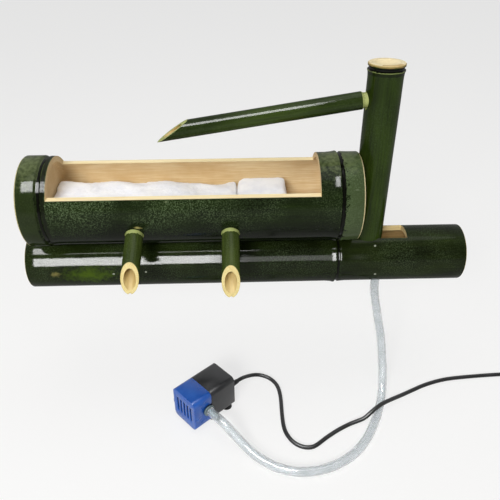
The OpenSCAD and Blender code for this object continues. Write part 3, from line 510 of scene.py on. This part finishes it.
# Sawn bamboo: straw wood with the dark dots of the fibre bundles, which are streaks along a cut.
# The bundles crowd together towards the rind, where the wood is greener.
def sawn_bamboo(name, at, turn, outer, inner, pale, deep, seed):
    material, tree, shader, place, local = bamboo(name, at, turn)
    across = add(tree, "VectorMath", {0: local, 1: (1, 1, 0)}, operation="MULTIPLY").outputs[0]
    radius = add(tree, "VectorMath", {0: across}, operation="LENGTH").outputs["Value"]
    out = add(tree, "MapRange", {0: radius, 1: inner, 2: outer}).outputs[0]
    shifted = add(tree, "VectorMath", {0: local, 1: (seed, seed, seed)}).outputs[0]
    fibres = add(tree, "VectorMath", {0: shifted, 1: (1, 1, 0.03)}, operation="MULTIPLY").outputs[0]
    bundles = add(tree, "TexVoronoi", {"Vector": fibres, "Scale": 1000 / 0.9})
    limit = add(tree, "MapRange", {0: out, 1: 0.0, 2: 1.0, 3: 0.22, 4: 0.42}).outputs[0]
    inside = add(tree, "Math", {0: limit, 1: bundles.outputs["Distance"]}, operation="SUBTRACT").outputs[0]
    dot = add(tree, "MapRange", {0: inside, 1: -0.06, 2: 0.08, 3: 0.0, 4: 0.55}).outputs[0]
    broad = add(tree, "TexNoise", {"Vector": fibres, "Scale": 1000 / 5, "Detail": 3.0})
    wash = add(tree, "MapRange", {0: broad.outputs[0], 1: 0.3, 2: 0.7, 3: 0.0, 4: 0.45}).outputs[0]
    tone = add(tree, "Mix", {0: wash, 6: srgb(pale), 7: srgb(deep)}, data_type="RGBA").outputs[2]
    tone = add(tree, "Mix", {0: dot, 6: tone, 7: srgb(deep)}, data_type="RGBA").outputs[2]
    rim = add(tree, "MapRange", {0: out, 1: 0.92, 2: 1.0, 3: 0.0, 4: 0.6}).outputs[0]
    tone = add(tree, "Mix", {0: rim, 6: tone, 7: srgb("5E6A2C")}, data_type="RGBA").outputs[2]
    bump = add(tree, "Bump", {"Height": bundles.outputs["Distance"], "Strength": 0.25, "Distance": 0.0003})
    feed(tree, shader, {"Base Color": tone, "Normal": bump.outputs[0], "Roughness": 0.7,
                        "Specular IOR Level": 0.12})
    return material


# The culm's inner wall: smooth tan skin with fine streaks and darker stains.
def culm_lining(name, at, turn, pale, deep, seed):
    material, tree, shader, place, local = bamboo(name, at, turn)
    shifted = add(tree, "VectorMath", {0: local, 1: (seed, seed, seed)}).outputs[0]
    fibres = add(tree, "VectorMath", {0: shifted, 1: (1, 1, 0.04)}, operation="MULTIPLY").outputs[0]
    fine = add(tree, "TexNoise", {"Vector": fibres, "Scale": 1000 / 1.2, "Detail": 4.0, "Roughness": 0.6})
    broad = add(tree, "TexNoise", {"Vector": shifted, "Scale": 1000 / 35, "Detail": 3.0})
    streak = add(tree, "MapRange", {0: fine.outputs[0], 1: 0.35, 2: 0.7, 3: 0.0, 4: 0.6}).outputs[0]
    stain = add(tree, "MapRange", {0: broad.outputs[0], 1: 0.4, 2: 0.75, 3: 0.0, 4: 0.6}).outputs[0]
    tone = add(tree, "Mix", {0: streak, 6: srgb(pale), 7: srgb(deep)}, data_type="RGBA").outputs[2]
    tone = add(tree, "Mix", {0: stain, 6: tone, 7: srgb(deep)}, data_type="RGBA").outputs[2]
    bump = add(tree, "Bump", {"Height": fine.outputs[0], "Strength": 0.3, "Distance": 0.0003})
    feed(tree, shader, {"Base Color": tone, "Normal": bump.outputs[0], "Roughness": 0.6,
                        "Specular IOR Level": 0.12})
    return material


ALONG, UPRIGHT = (0, math.radians(90), 0), (0, 0, 0)
LACQUER, FLECK = "0A0B06", "C9CFBC"
# a yellow-green patch, a pale scar and a few white flecks on the front of the rind
base_marks = [((-0.1682, -0.0319, 0.0284), 0.009, 2.6, "3A4E08"),
              ((-0.2061, -0.032, 0.0294), 0.0024, 1.6, "77703F"),
              ((-0.1412, -0.032, 0.0291), 0.0008, 1.5, FLECK), ((-0.1051, -0.032, 0.031), 0.0008, 1.2, FLECK),
              ((0.1538, -0.0222, 0.0535), 0.0009, 1.2, FLECK), ((0.1557, -0.0305, 0.0208), 0.001, 1.2, FLECK)]
# a node's ring, as (height from the node, step out from the culm)
node_form = [(-0.012, 0), (-0.008, 0.0003), (-0.005, 0.0006), (-0.0036, 0.001), (-0.0026, 0.0013),
             (-0.0014, 0.0012), (-0.0009, 0.0005), (-0.0004, -0.0006), (0.0002, -0.0008),
             (0.0012, -0.0008), (0.0018, -0.0005), (0.0024, 0.0002), (0.003, 0.0005), (0.0045, 0.0005),
             (0.0075, 0.0002), (0.011, 0)]
base_r, base_hole = 0.032, 0.026
base_at, base_length, base_node = (-0.239, 0, 0.0305), 0.497, 0.351
base = grown("base_culm", [(0, base_r - 0.0006), (0.0002, base_r - 0.0002), (0.0006, base_r)]
             + [(base_node + z, base_r + r) for z, r in node_form]
             + [(base_length - 0.0006, base_r), (base_length - 0.0002, base_r - 0.0002),
                (base_length, base_r - 0.0006)])
waved(base, 0.0004, 0.05)
laid(base, base_at, ALONG)
bores = [grown("bore", rings, 64)
         for rings in (bore(base_hole, -0.001, base_node - 0.0025, 0, 0.005),
                       bore(base_hole, base_node + 0.0025, base_length + 0.001, 0.005, 0))]
cut(base, *[laid(b, base_at, ALONG) for b in bores])
# the trough's seat, where the riser and the hose go through, and the two screws that hold the trough
trough_seat = 0.062
riser_x, hose_x = 0.148, 0.166
screw_places, screw_y, screw_r = (-0.2134, 0.1196), -0.00323, 0.00205
cut(base, plane_iron((-0.236, -0.033, -0.01), (-0.206, 0.033, 0)),
    plane_iron((0.206, -0.033, -0.01), (0.236, 0.033, 0)),
    plane_iron((-0.2244, -0.02, trough_seat), (0.1302, 0.02, 0.07)),
    drill((riser_x, 0, base_at[2]), UPRIGHT, 0, 0.04, 0.01788),
    plane_iron((riser_x, -0.0145, base_at[2]), (0.192, 0.0145, 0.07)),
    drill((hose_x, 0, 0), UPRIGHT, -0.01, 0.02, 0.00555, sides=48),
    *[drill((x, screw_y, base_at[2]), UPRIGHT, 0, 0.04, screw_r, sides=32) for x in screw_places])
# painted shade darkens the base's rind below 30 mm up, its lower half
dressed(base, base_at, ALONG, base_r, base_hole,
        [varnished_rind("varnished_base_rind", base_at, ALONG, "0E1404", "1D2708", bloom=0.3,
                        shade_and_bloom_above=(0.0, 0.03), seed=0.31, marks=base_marks,
                        scars=[(base_node + 0.0006, 0.0013, LACQUER, 1)]),
         sawn_bamboo("sawn_base", base_at, ALONG, base_r, base_hole, pale="E6D097", deep="B3935A", seed=0.2),
         culm_lining("base_lining", base_at, ALONG, pale="C9A972", deep="8F6E3A", seed=0.4)],
        planed=[(Vector((0, 0, 1)), trough_seat), (Vector((0, 0, -1)), 0)])
# the window stands low, and only the base culm mirrors it and its curtain
mirrored_by = bpy.data.collections.new("mirrored_by")
mirrored_by.objects.link(base)
for panel in (window_panel, curtain_panel):
    panel.light_linking.receiver_collection = mirrored_by
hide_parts("base_culm")
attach(base, "frame")

# trough culm
# The trough is a thicker length of the same bamboo, 96 mm through with a 5.5 mm wall, with a node
# near each end. A window is sawn out of its top, and two holes for the front spouts are drilled
# in its front and bevelled with a knife. It lies on the base culm and is screwed to it.
trough_r, trough_hole, swell = 0.048, 0.0425, 0.0012
trough_at, trough_length = (-0.2234, -0.007, 0.1096), 0.353
left_node, right_node = 0.0225, 0.3305
window_low, window_tilt = 0.02614, math.radians(7)
DOWN_FRONT = (math.radians(90 + 24), 0, 0)
# r is the culm, s its swollen left stub, m and n its two nodes
r, s, m, n = trough_r, trough_r + swell, left_node, right_node
trough = grown("trough_culm", [(0, s - 0.001), (0.0004, s - 0.0004), (0.0012, s), (m - 0.004, s),
    (m - 0.0033, s - 0.0002), (m - 0.0027, s - 0.0008), (m - 0.0018, r - 0.0009), (m, r - 0.001),
    (m + 0.0016, r - 0.0009), (m + 0.0024, r - 0.0003), (m + 0.0033, r + 0.0004),
    (m + 0.006, r + 0.0003), (m + 0.012, r), (n - 0.014, r), (n - 0.009, r + 0.0003),
    (n - 0.005, r + 0.0007), (n - 0.003, r + 0.0012), (n - 0.0017, r + 0.0012), (n - 0.0011, r + 0.0004),
    (n - 0.0006, r - 0.0006), (n, r - 0.0008), (n + 0.0015, r - 0.0008), (n + 0.0022, r - 0.0003),
    (n + 0.003, r + 0.0005), (n + 0.006, r + 0.0004), (n + 0.01, r + 0.0002),
    (trough_length - 0.0013, r + 0.0002), (trough_length - 0.0005, r - 0.0003),
    (trough_length, r - 0.0011)], 128)
waved(trough, 0.0005, 0.06)
laid(trough, trough_at, ALONG)
chambers = [bore(trough_hole, -0.001, left_node - 0.0025, 0, 0.005),
            bore(trough_hole, left_node + 0.0025, right_node - 0.0025, 0.006, 0.006),
            bore(trough_hole, right_node + 0.0025, trough_length + 0.001, 0.005, 0)]
cut(trough, *[laid(grown("bore", rings, 96), trough_at, ALONG) for rings in chambers])
cut(trough, plane_iron((0.0305, -0.1, window_low), (0.308, 0.1, 0.1), trough_at, (window_tilt, 0, 0)),
    plane_iron((-0.23, -0.06, 0.05), (0.14, 0.06, trough_seat)))
# where the axes of the two front spouts start, in the middle of the trough
spout_starts = [(trough_at[0] + x, trough_at[1], trough_at[2]) for x in (0.115, 0.215)]
for at in spout_starts:
    cut(trough, drill(at, DOWN_FRONT, 0, 0.06, 0.00925),
        drill(at, DOWN_FRONT, trough_r - 0.0016, trough_r + 0.002, 0.0088, 0.0112, sides=48))
for x in screw_places:
    cut(trough, drill((x, screw_y, 0), UPRIGHT, 0.061, 0.0695, screw_r, sides=32),
        drill((x, screw_y, 0), UPRIGHT, 0.0665, 0.0705, 0.0045, sides=32))
# a splintered edge beside the left spout, a few pale flecks, and a painted reflection on the top of the left
# stub and over the right node
trough_marks_and_sheen = [((-0.1029, -0.0542, 0.1007), 0.0013, 2.2, "A39A5E"),
                ((-0.0722, -0.0512, 0.1284), 0.0009, 1.4, "6E7858"),
                ((0.1214, -0.0471, 0.136), 0.0006, 4.0, "8A947A"),
                # painted reflection: pale patches on the top of the left stub and over the right node
                ((-0.214, -0.014, 0.161), 0.024, 1.0, "66704A"), ((0.105, -0.01, 0.159), 0.02, 1.4, "66704A")]
# the pale green wood that the knife bares round a drilled hole
knifed_rind = sawn_bamboo("knifed_rind", trough_at, ALONG, 1.0, 0.5, pale="A9B272", deep="7E8A4A", seed=0.9)
slope = Euler((window_tilt, 0, 0)).to_matrix() @ Vector((0, 0, 1))
# painted shade darkens the trough's rind below 120 mm up
dressed(trough, trough_at, ALONG, trough_r, trough_hole,
        [varnished_rind("varnished_trough_rind", trough_at, ALONG, "0F1706", "1B270B",
                        scars=[(0.01, 0.0112, "3C4826", 0.25), (trough_length, 0.019, "5A6A46", 0.4),
                               (left_node + 0.0008, 0.0018, LACQUER, 1),
                               (left_node + 0.0053, 0.0019, "12150B", 0.9),
                               (right_node + 0.0006, 0.0019, LACQUER, 1)],
                        bloom=0.9, shade_and_bloom_above=(0.088, 0.12), seed=0.77, marks=trough_marks_and_sheen,
                        bloom_along=[(0, 0.12), (left_node, 0.12), (left_node + 0.008, 1.0), (0.14, 0.8),
                                     (0.27, 0.4), (right_node - 0.002, 0.25), (right_node + 0.003, 1.0),
                                     (trough_length, 1.0)]),
         sawn_bamboo("sawn_trough", trough_at, ALONG, trough_r, trough_hole, pale="FFF0C6", deep="E0C484",
                     seed=0.5),
         culm_lining("trough_lining", trough_at, ALONG, pale="EBD6AC", deep="C8A26A", seed=0.1),
         knifed_rind],
        planed=[(slope, slope.dot(Vector(trough_at)) + window_low), (Vector((0, 0, -1)), -trough_seat)],
        bevels=[(at, DOWN_FRONT, 0.0122) for at in spout_starts])
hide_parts("trough_culm")
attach(trough, "frame")

# front spouts
# Two finger-thick lengths of green bamboo, whose shaved roots are glued into the trough's front.
# Their mouths are cut at a long slant, open to the front and upwards, with a drip notch below.
spout_r, spout_hole = 0.0092, 0.0053
mouth_slope = math.radians(55)
tip = spout_r * math.tan(mouth_slope)


def slanted(at, turn, reach, tilt):
    """The plane of a slanted mouth, as its normal and distance."""
    facing = Euler(turn).to_matrix() @ Euler(tilt).to_matrix() @ Vector((0, 0, 1))
    return facing, facing.dot(Vector(at) + Euler(turn).to_matrix() @ Vector((0, 0, reach)))


for name, at, reach, seed in (("front_spout_left", spout_starts[0], 0.100, 0.15),
                              ("front_spout_right", spout_starts[1], 0.106, 0.62)):
    spout = laid(grown(name, [(0.0415, spout_r), (reach + tip + 0.002, spout_r)], 64, 0.006), at, DOWN_FRONT)
    mouth = plane_iron((-0.02, -0.04, 0), (0.02, 0.04, 0.06))
    laid(mouth, (0, 0, reach), (-mouth_slope, 0, 0))
    laid(mouth, at, DOWN_FRONT)
    notch = drill((0, -spout_hole + 0.001, reach + tip), (math.radians(90), 0, 0), 0, 0.02, 0.0015, sides=24)
    laid(notch, at, DOWN_FRONT)
    cut(spout, laid(grown("bore", bore(spout_hole, 0.0405, reach + tip + 0.004), 48), at, DOWN_FRONT),
        mouth, notch, drill(at, DOWN_FRONT, reach - tip, reach + tip + 0.004, spout_hole - 0.0001, 0.0074))
    dressed(spout, at, DOWN_FRONT, spout_r, spout_hole + 0.0022,
            [varnished_rind("varnished_" + name, at, DOWN_FRONT, "273210", "434F20", bloom=0.25, seed=seed,
                            scars=[(0.0490, 0.0020, "A0A968", 1)]),
             sawn_bamboo("sawn_" + name, at, DOWN_FRONT, spout_r, spout_hole, pale="D8C88E", deep="BCA460",
                         seed=seed),
             culm_lining("lining_" + name, at, DOWN_FRONT, pale="DCC68C", deep="AC9050", seed=seed)],
            planed=[slanted(at, DOWN_FRONT, reach, (-mouth_slope, 0, 0))])
    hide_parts(name)
    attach(spout, "frame")

# riser culm
# The riser is a young culm, 36 mm through, that stands in the hole of the base. It is sawn off
# just above a node, whose dished inner wall closes its top. The foot is notched for the hose.
riser_r, riser_hole = 0.0178, 0.0133
riser_at, riser_height = (riser_x, 0, 0.0117), 0.23865
r, h = riser_r, riser_height
riser = grown("riser_culm", [(0, r - 0.0003), (0.0004, r), (h - 0.014, r), (h - 0.011, r + 0.0002),
    (h - 0.0084, r + 0.0005), (h - 0.0074, r + 0.001), (h - 0.0066, r + 0.001), (h - 0.006, r + 0.0001),
    (h - 0.0056, r - 0.0006), (h - 0.0038, r - 0.0006), (h - 0.0033, r), (h - 0.0028, r + 0.0007),
    (h - 0.0008, r + 0.0008), (h - 0.0003, r + 0.0005), (h, r + 0.0001)], 72)
waved(riser, 0.0003, 0.03)
laid(riser, riser_at, UPRIGHT)
dish_depth = 0.0035
dish_r = (riser_hole ** 2 + dish_depth ** 2) / 2 / dish_depth
deselect()
bpy.ops.mesh.primitive_uv_sphere_add(segments=96, ring_count=96, radius=dish_r,
                                     location=(riser_x, 0, riser_at[2] + h - dish_depth + dish_r))
dish = bpy.context.object
SPOUT_TURN = (0, math.radians(-98.6), 0)
spout_at = (riser_x, 0, 0.2163)
cut(riser, laid(grown("bore", bore(riser_hole, -0.001, h - 0.0085, 0, 0.005), 48), riser_at, UPRIGHT), dish,
    drill(spout_at, SPOUT_TURN, 0, 0.0356, 0.00748, sides=48),
    drill(spout_at, SPOUT_TURN, 0.0151, 0.0191, 0.0073, 0.0106),
    plane_iron((riser_x + riser_hole / 2, -0.0105, 0.01), (0.19, 0.0105, 0.0435)))
dressed(riser, riser_at, UPRIGHT, riser_r, riser_hole,
        [varnished_rind("varnished_riser_rind", riser_at, UPRIGHT, "182305", "2A3A0C", seed=0.9, bloom=0.12,
                        scars=[(h - 0.0092, 0.0014, "141B08", 0.8), (h - 0.0068, 0.0004, "7C8650", 1),
                               (h - 0.0046, 0.0019, LACQUER, 1), (h - 0.0006, 0.0012, "8A7444", 1)]),
         sawn_bamboo("sawn_riser", riser_at, UPRIGHT, riser_r + 0.0008, riser_hole, pale="D9C189",
                     deep="9C7A42", seed=0.8),
         culm_lining("riser_lining", riser_at, UPRIGHT, pale="F2E8C4", deep="D8BF8C", seed=0.6), knifed_rind],
        bevels=[(spout_at, SPOUT_TURN, 0.0112)])
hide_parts("riser_culm")
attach(riser, "riser")

# upper spout
# A straight length of thin green bamboo, whittled down at one end to push into the riser, its
# mouth cut at a long slant over the trough.
upper_r, upper_hole, tenon_r = 0.0091, 0.0053, 0.0074
shoulder, cone, reach = 0.01943, 0.0025, 0.2165
mouth_slope = math.radians(63.2)
tip = upper_r * math.tan(mouth_slope)
upper = grown("upper_spout", [(0.0113, tenon_r), (shoulder, tenon_r), (shoulder + cone, upper_r),
                              (reach + tip + 0.002, upper_r)], 64, 0.01)
waved(upper, 0.0002, 0.03)
laid(upper, spout_at, SPOUT_TURN)
mouth = plane_iron((-0.06, -0.02, 0), (0.06, 0.02, 0.08))
laid(mouth, (0, 0, reach), (0, mouth_slope, 0))
laid(mouth, spout_at, SPOUT_TURN)
upper_bore = grown("bore", bore(upper_hole, 0.0103, reach + tip + 0.004), 48)
cut(upper, laid(upper_bore, spout_at, SPOUT_TURN), mouth)
dressed(upper, spout_at, SPOUT_TURN, upper_r, upper_hole,
        [varnished_rind("varnished_upper_spout", spout_at, SPOUT_TURN, "1A240B", "303E17", bloom=0.15,
                        seed=0.45),
         sawn_bamboo("sawn_upper_spout", spout_at, SPOUT_TURN, upper_r, upper_hole, pale="A9B070",
                     deep="7C8448", seed=0.3),
         # painted shade: darker tans than the other linings stand for the shade inside the upper spout's bore
         culm_lining("painted_shade_lining_upper_spout", spout_at, SPOUT_TURN, pale="C9AE70", deep="8F7440", seed=0.3)],
        planed=[slanted(spout_at, SPOUT_TURN, reach, (0, mouth_slope, 0))])
# the whittled collar shows bare wood
to_spout = Euler(SPOUT_TURN).to_matrix().transposed()
for face in upper.data.polygons:
    height = (to_spout @ (face.center - Vector(spout_at))).z
    if height < shoulder + 0.0015 and face.material_index == RIND:
        face.material_index = SAWN
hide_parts("upper_spout")
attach(upper, "spout")

# filter floss
# Two pads of white polyester batting lie in the trough as its filter. They are cut from a loft by
# hand, so their tops are uneven and their ends drawn in, and they lift out by the window.
def copied(node):
    """A merged copy of a CAD solid, with its own mesh, to be worked on."""
    piece = bpy.data.objects.new(node, nodes[node].data.copy())
    piece.data.materials.clear()
    bpy.context.collection.objects.link(piece)
    settled(piece)
    bpy.ops.object.mode_set(mode="EDIT")
    bpy.ops.mesh.select_all(action="SELECT")
    bpy.ops.mesh.remove_doubles(threshold=1e-5)
    bpy.ops.object.mode_set(mode="OBJECT")
    return piece


# White batting: matt curled fibres that scatter the light, with a faint cool painted shade in the hollows.
batting, tree, shader, place = started("white_polyester_batting")
curls = add(tree, "TexNoise", {"Vector": place, "Scale": 1000 / 1.8, "Detail": 5.0, "Roughness": 0.7,
                               "Distortion": 1.6})
tufts = add(tree, "TexNoise", {"Vector": place, "Scale": 1000 / 14, "Detail": 3.0})
# painted shade: the hollows between the tufts are a little cooler and greyer
shade = add(tree, "MapRange", {0: tufts.outputs[0], 1: 0.35, 2: 0.65})
tone = add(tree, "Mix", {0: shade.outputs[0], 6: srgb("F2F2F6"), 7: srgb("FFFEFE")}, data_type="RGBA")
relief = add(tree, "Math", {0: curls.outputs[0], 1: tufts.outputs[0]}).outputs[0]
bump = add(tree, "Bump", {"Height": relief, "Strength": 0.5, "Distance": 0.0008})
feed(tree, shader, {"Base Color": tone.outputs[2], "Normal": bump.outputs[0], "Roughness": 0.95,
                    "Specular IOR Level": 0.1, "Sheen Weight": 0.25, "Subsurface Weight": 0.25,
                    "Subsurface Radius": (0.003, 0.003, 0.003), "Subsurface Scale": 1.0})

# how hard a pad is blown up, and how far a point of it may move
puff, most_puff = 1.5, 0.0022
# the face of the trough's left end wall, and how near its round wall a pad may come
most_left, pad_r = -0.1979, trough_hole - 0.0002
# how far a pad's left and right end are drawn out, over the last 20 mm of it
end_run = 0.02
for name, body, left_fill, right_fill in (("floss_pad_long", "floss_long", 0.0125, 0.0012),
                                          ("floss_pad_short", "floss_short", 0.0012, 0.001)):
    pad = copied(name)
    loft = pad.modifiers.new("loft", "REMESH")
    loft.mode, loft.voxel_size = "VOXEL", 0.004
    bpy.ops.object.modifier_apply(modifier="loft")
    # its ends are stuffed against the end wall and against the other pad
    low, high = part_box(name)[0][0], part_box(name)[1][0]
    for vertex in pad.data.vertices:
        x = vertex.co.x
        vertex.co.x -= left_fill * max(0, 1 - (x - low) / end_run)
        vertex.co.x += right_fill * max(0, 1 - (high - x) / end_run)
        vertex.co.x = max(vertex.co.x, most_left)
    start = [v.co.copy() for v in pad.data.vertices]
    swell_up = pad.modifiers.new("swell", "CLOTH")
    swell_up.settings.use_pressure = True
    swell_up.settings.uniform_pressure_force = puff
    swell_up.settings.effector_weights.gravity = 0
    for step in range(1, 16):
        bpy.context.scene.frame_set(step)
    bpy.ops.object.modifier_apply(modifier="swell")
    bpy.context.scene.frame_set(1)
    for vertex, was in zip(pad.data.vertices, start):
        move = vertex.co - was
        if move.length > most_puff:
            vertex.co = was + move * (most_puff / move.length)
    fine = pad.modifiers.new("fine", "SUBSURF")
    fine.levels = fine.render_levels = 2
    bpy.ops.object.modifier_apply(modifier="fine")
    for size, height in ((0.012, 0.0013), (0.0035, 0.0007)):
        tuft = bpy.data.textures.new("tufts", "CLOUDS")
        tuft.noise_scale = size
        bulge = pad.modifiers.new("tufts", "DISPLACE")
        bulge.texture, bulge.strength, bulge.mid_level = tuft, height, 0.5
        bpy.ops.object.modifier_apply(modifier="tufts")
    # the trough's wall and its left end wall hold the pad in
    for vertex in pad.data.vertices:
        vertex.co.x = max(vertex.co.x, most_left)
        y, z = vertex.co.y - trough_at[1], vertex.co.z - trough_at[2]
        r = math.hypot(y, z)
        if r > pad_r:
            vertex.co.y = trough_at[1] + y * pad_r / r
            vertex.co.z = trough_at[2] + z * pad_r / r
    pad.data.materials.append(batting)
    for face in pad.data.polygons:
        face.use_smooth = True
    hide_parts(name)
    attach(pad, body)

# hose in the riser
# The same hose goes on up through the base and the riser in an easy S, to the rubber bung that
# holds it below the upper spout.
hose_shift, hose_up, bend = hose_x - riser_x, 0.005, 0.042
lean = math.acos(1 - hose_shift / 2 / bend)
upright = hose_up + 2 * bend * math.sin(lean)
lift = [(riser_x + hose_shift, 0, -0.003)]
for i in range(9):
    a = lean * i / 8
    lift.append((riser_x + hose_shift - bend * (1 - math.cos(a)), 0, hose_up + bend * math.sin(a)))
for i in range(7, -1, -1):
    a = lean * i / 8
    lift.append((riser_x + bend * (1 - math.cos(a)), 0, upright - bend * math.sin(a)))
lift += [(riser_x, 0, 0.16), (riser_x, 0, 0.1953)]
held_hose = swept("hose_in_riser", lift, hose_walls, 24)
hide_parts("hose_riser")
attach(held_hose, "frame")

# Clear soft vinyl, extruded: glassy, a little milky, with a faint ripple.
vinyl, tree, shader, place = started("clear_vinyl_hose")
cloudy = add(tree, "TexNoise", {"Vector": place, "Scale": 1000 / 12, "Detail": 3.0})
milk = add(tree, "MapRange", {0: cloudy.outputs[0], 1: 0.3, 2: 0.7, 3: 0.05, 4: 0.22})
tone = add(tree, "Mix", {0: cloudy.outputs[0], 6: srgb("D9DDDF"), 7: srgb("ECEFF0")}, data_type="RGBA")
ripple = add(tree, "TexNoise", {"Vector": place, "Scale": 1000 / 3, "Detail": 2.0})
bump = add(tree, "Bump", {"Height": ripple.outputs[0], "Strength": 0.15, "Distance": 0.0003})
feed(tree, shader, {"Base Color": tone.outputs[2], "Roughness": milk.outputs[0], "Normal": bump.outputs[0],
                    "Transmission Weight": 0.82, "IOR": 1.42})
for piece in (hose, held_hose):
    piece.data.materials.append(vinyl)


# bung and screws
# A black rubber bung grips the hose in the riser. Two stainless pan-head screws go down through
# the trough's open ends into the base.
def moulded(name, colour, worn, rough, grain, depth, shine=0.4):
    """A moulded or scuffed surface: a fine grain, given in millimetres, and a little wear."""
    material, tree, shader, place = started(name)
    fine = add(tree, "TexNoise", {"Vector": place, "Scale": 1000 / grain, "Detail": 3.0})
    broad = add(tree, "TexNoise", {"Vector": place, "Scale": 1000 / (grain * 18), "Detail": 3.0})
    rub = add(tree, "MapRange", {0: broad.outputs[0], 1: 0.45, 2: 0.75, 3: 0.0, 4: 0.7})
    tone = add(tree, "Mix", {0: rub.outputs[0], 6: srgb(colour), 7: srgb(worn)}, data_type="RGBA")
    gloss = add(tree, "MapRange", {0: broad.outputs[0], 1: 0.3, 2: 0.7, 3: rough * 0.85,
                                   4: min(rough * 1.3, 1.0)})
    bump = add(tree, "Bump", {"Height": fine.outputs[0], "Strength": 0.2, "Distance": depth / 1000})
    feed(tree, shader, {"Base Color": tone.outputs[2], "Roughness": gloss.outputs[0],
                        "Normal": bump.outputs[0], "Specular IOR Level": shine})
    return material


def finished(material, *names):
    """Gives CAD nodes that stay a finish of their own."""
    for name in names:
        for slot in nodes[name].material_slots:
            slot.material = material


finished(moulded("black_rubber_bung", "1B1B1B", "2A2A29", 0.6, 0.5, 0.1), "riser_bung")

# Stainless steel, turned: fine tool marks and a soft grey shine.
steel, tree, shader, place = started("turned_stainless_steel")
scratch = add(tree, "TexNoise", {"Vector": place, "Scale": 1000 / 0.4, "Detail": 3.0})
gloss = add(tree, "MapRange", {0: scratch.outputs[0], 1: 0.3, 2: 0.7, 3: 0.2, 4: 0.38})
bump = add(tree, "Bump", {"Height": scratch.outputs[0], "Strength": 0.12, "Distance": 0.0001})
feed(tree, shader, {"Base Color": srgb("C6C5C2"), "Metallic": 1.0, "Roughness": gloss.outputs[0],
                    "Normal": bump.outputs[0]})
finished(steel, "trough_screws")

# pump
# A small submersible pump stands on four rubber suction cups. Its intake cover is moulded in blue
# ABS and slides off the black motor housing, which is filled with resin behind. The clear hose
# pushes over its grey nipple.
def eased(node, width):
    """A copy of a CAD solid whose sharp edges are rounded as a mould leaves them."""
    piece = copied(node)
    sharp = math.radians(30)
    bpy.ops.object.mode_set(mode="EDIT")
    bpy.ops.mesh.select_all(action="SELECT")
    bpy.ops.mesh.dissolve_limited(angle_limit=math.radians(3))
    bpy.ops.object.mode_set(mode="OBJECT")
    edge = piece.modifiers.new("edge", "BEVEL")
    edge.width, edge.segments, edge.limit_method, edge.angle_limit = width, 2, "ANGLE", sharp
    bpy.ops.object.modifier_apply(modifier="edge")
    bpy.ops.object.shade_smooth_by_angle(angle=sharp)
    return piece


blue = moulded("moulded_blue_abs", "1450A8", "2A66BC", 0.28, 0.9, 0.05, shine=0.5)
black = moulded("moulded_black_abs", "17181A", "26272A", 0.35, 0.9, 0.05, shine=0.5)
grey_abs = moulded("moulded_grey_abs", "5D6E70", "75868A", 0.35, 0.9, 0.05)
cup_rubber = moulded("soft_black_rubber", "161616", "242424", 0.5, 0.6, 0.1)
for node, width, finish, body, slot in (
        ("pump_cover", 0.0005, blue, "cover", "pump_blue"),
        ("pump_housing", 0.0004, black, "frame", "pump_black"),
        ("pump_nipple", 0.0002, grey_abs, "frame", "pump_grey"),
        ("suction_cups", 0.0002, cup_rubber, "frame", "cup_rubber")):
    piece = eased(node, width)
    piece.data.materials.append(finish)
    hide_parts(node)
    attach(piece, body)

# Inside: resin over the windings, laminated iron, copper, a black ceramic magnet and its shaft.
finished(moulded("cast_black_resin", "1C1C1E", "2C2C2E", 0.3, 1.6, 0.2), "pump_potting")
finished(moulded("laminated_iron", "5E5E60", "77777A", 0.5, 0.5, 0.1), "pump_stator")
finished(moulded("enamelled_copper", "8A4A24", "B5683A", 0.35, 0.4, 0.2), "pump_winding")
finished(black, "pump_volute")
finished(moulded("ferrite_magnet", "26272A", "343539", 0.45, 0.8, 0.1), "pump_rotor")
finished(moulded("white_acetal", "DAD9D2", "C9C8C0", 0.4, 0.8, 0.05), "pump_impeller")
finished(moulded("polished_ceramic", "E4E3DD", "D5D4CE", 0.15, 0.6, 0.02), "pump_shaft")
finished(moulded("bush_rubber", "1E1E1E", "2B2B2B", 0.6, 0.5, 0.1), "pump_bushes")

# cable and plug
# The cable is round black flex, moulded on to the pump's gland and to a two-pin plug. A black
# hook-and-loop tie holds the coil.
flex = moulded("extruded_black_pvc", "121213", "1F1F20", 0.38, 1.2, 0.1)
cable.data.materials.append(flex)
finished(flex, "cable_gland", "plug_relief", "plug_body")
finished(moulded("woven_black_tie", "1A1A1B", "2C2C2E", 0.85, 0.7, 0.4, shine=0.2), "cable_tie")
# Nickel-plated brass: a warm bright grey.
nickel = steel.copy()
nickel.name = "nickel_plated_brass"
nickel.node_tree.nodes["Principled BSDF"].inputs["Base Color"].default_value = srgb("CFCBBF")
finished(nickel, "plug_pins")
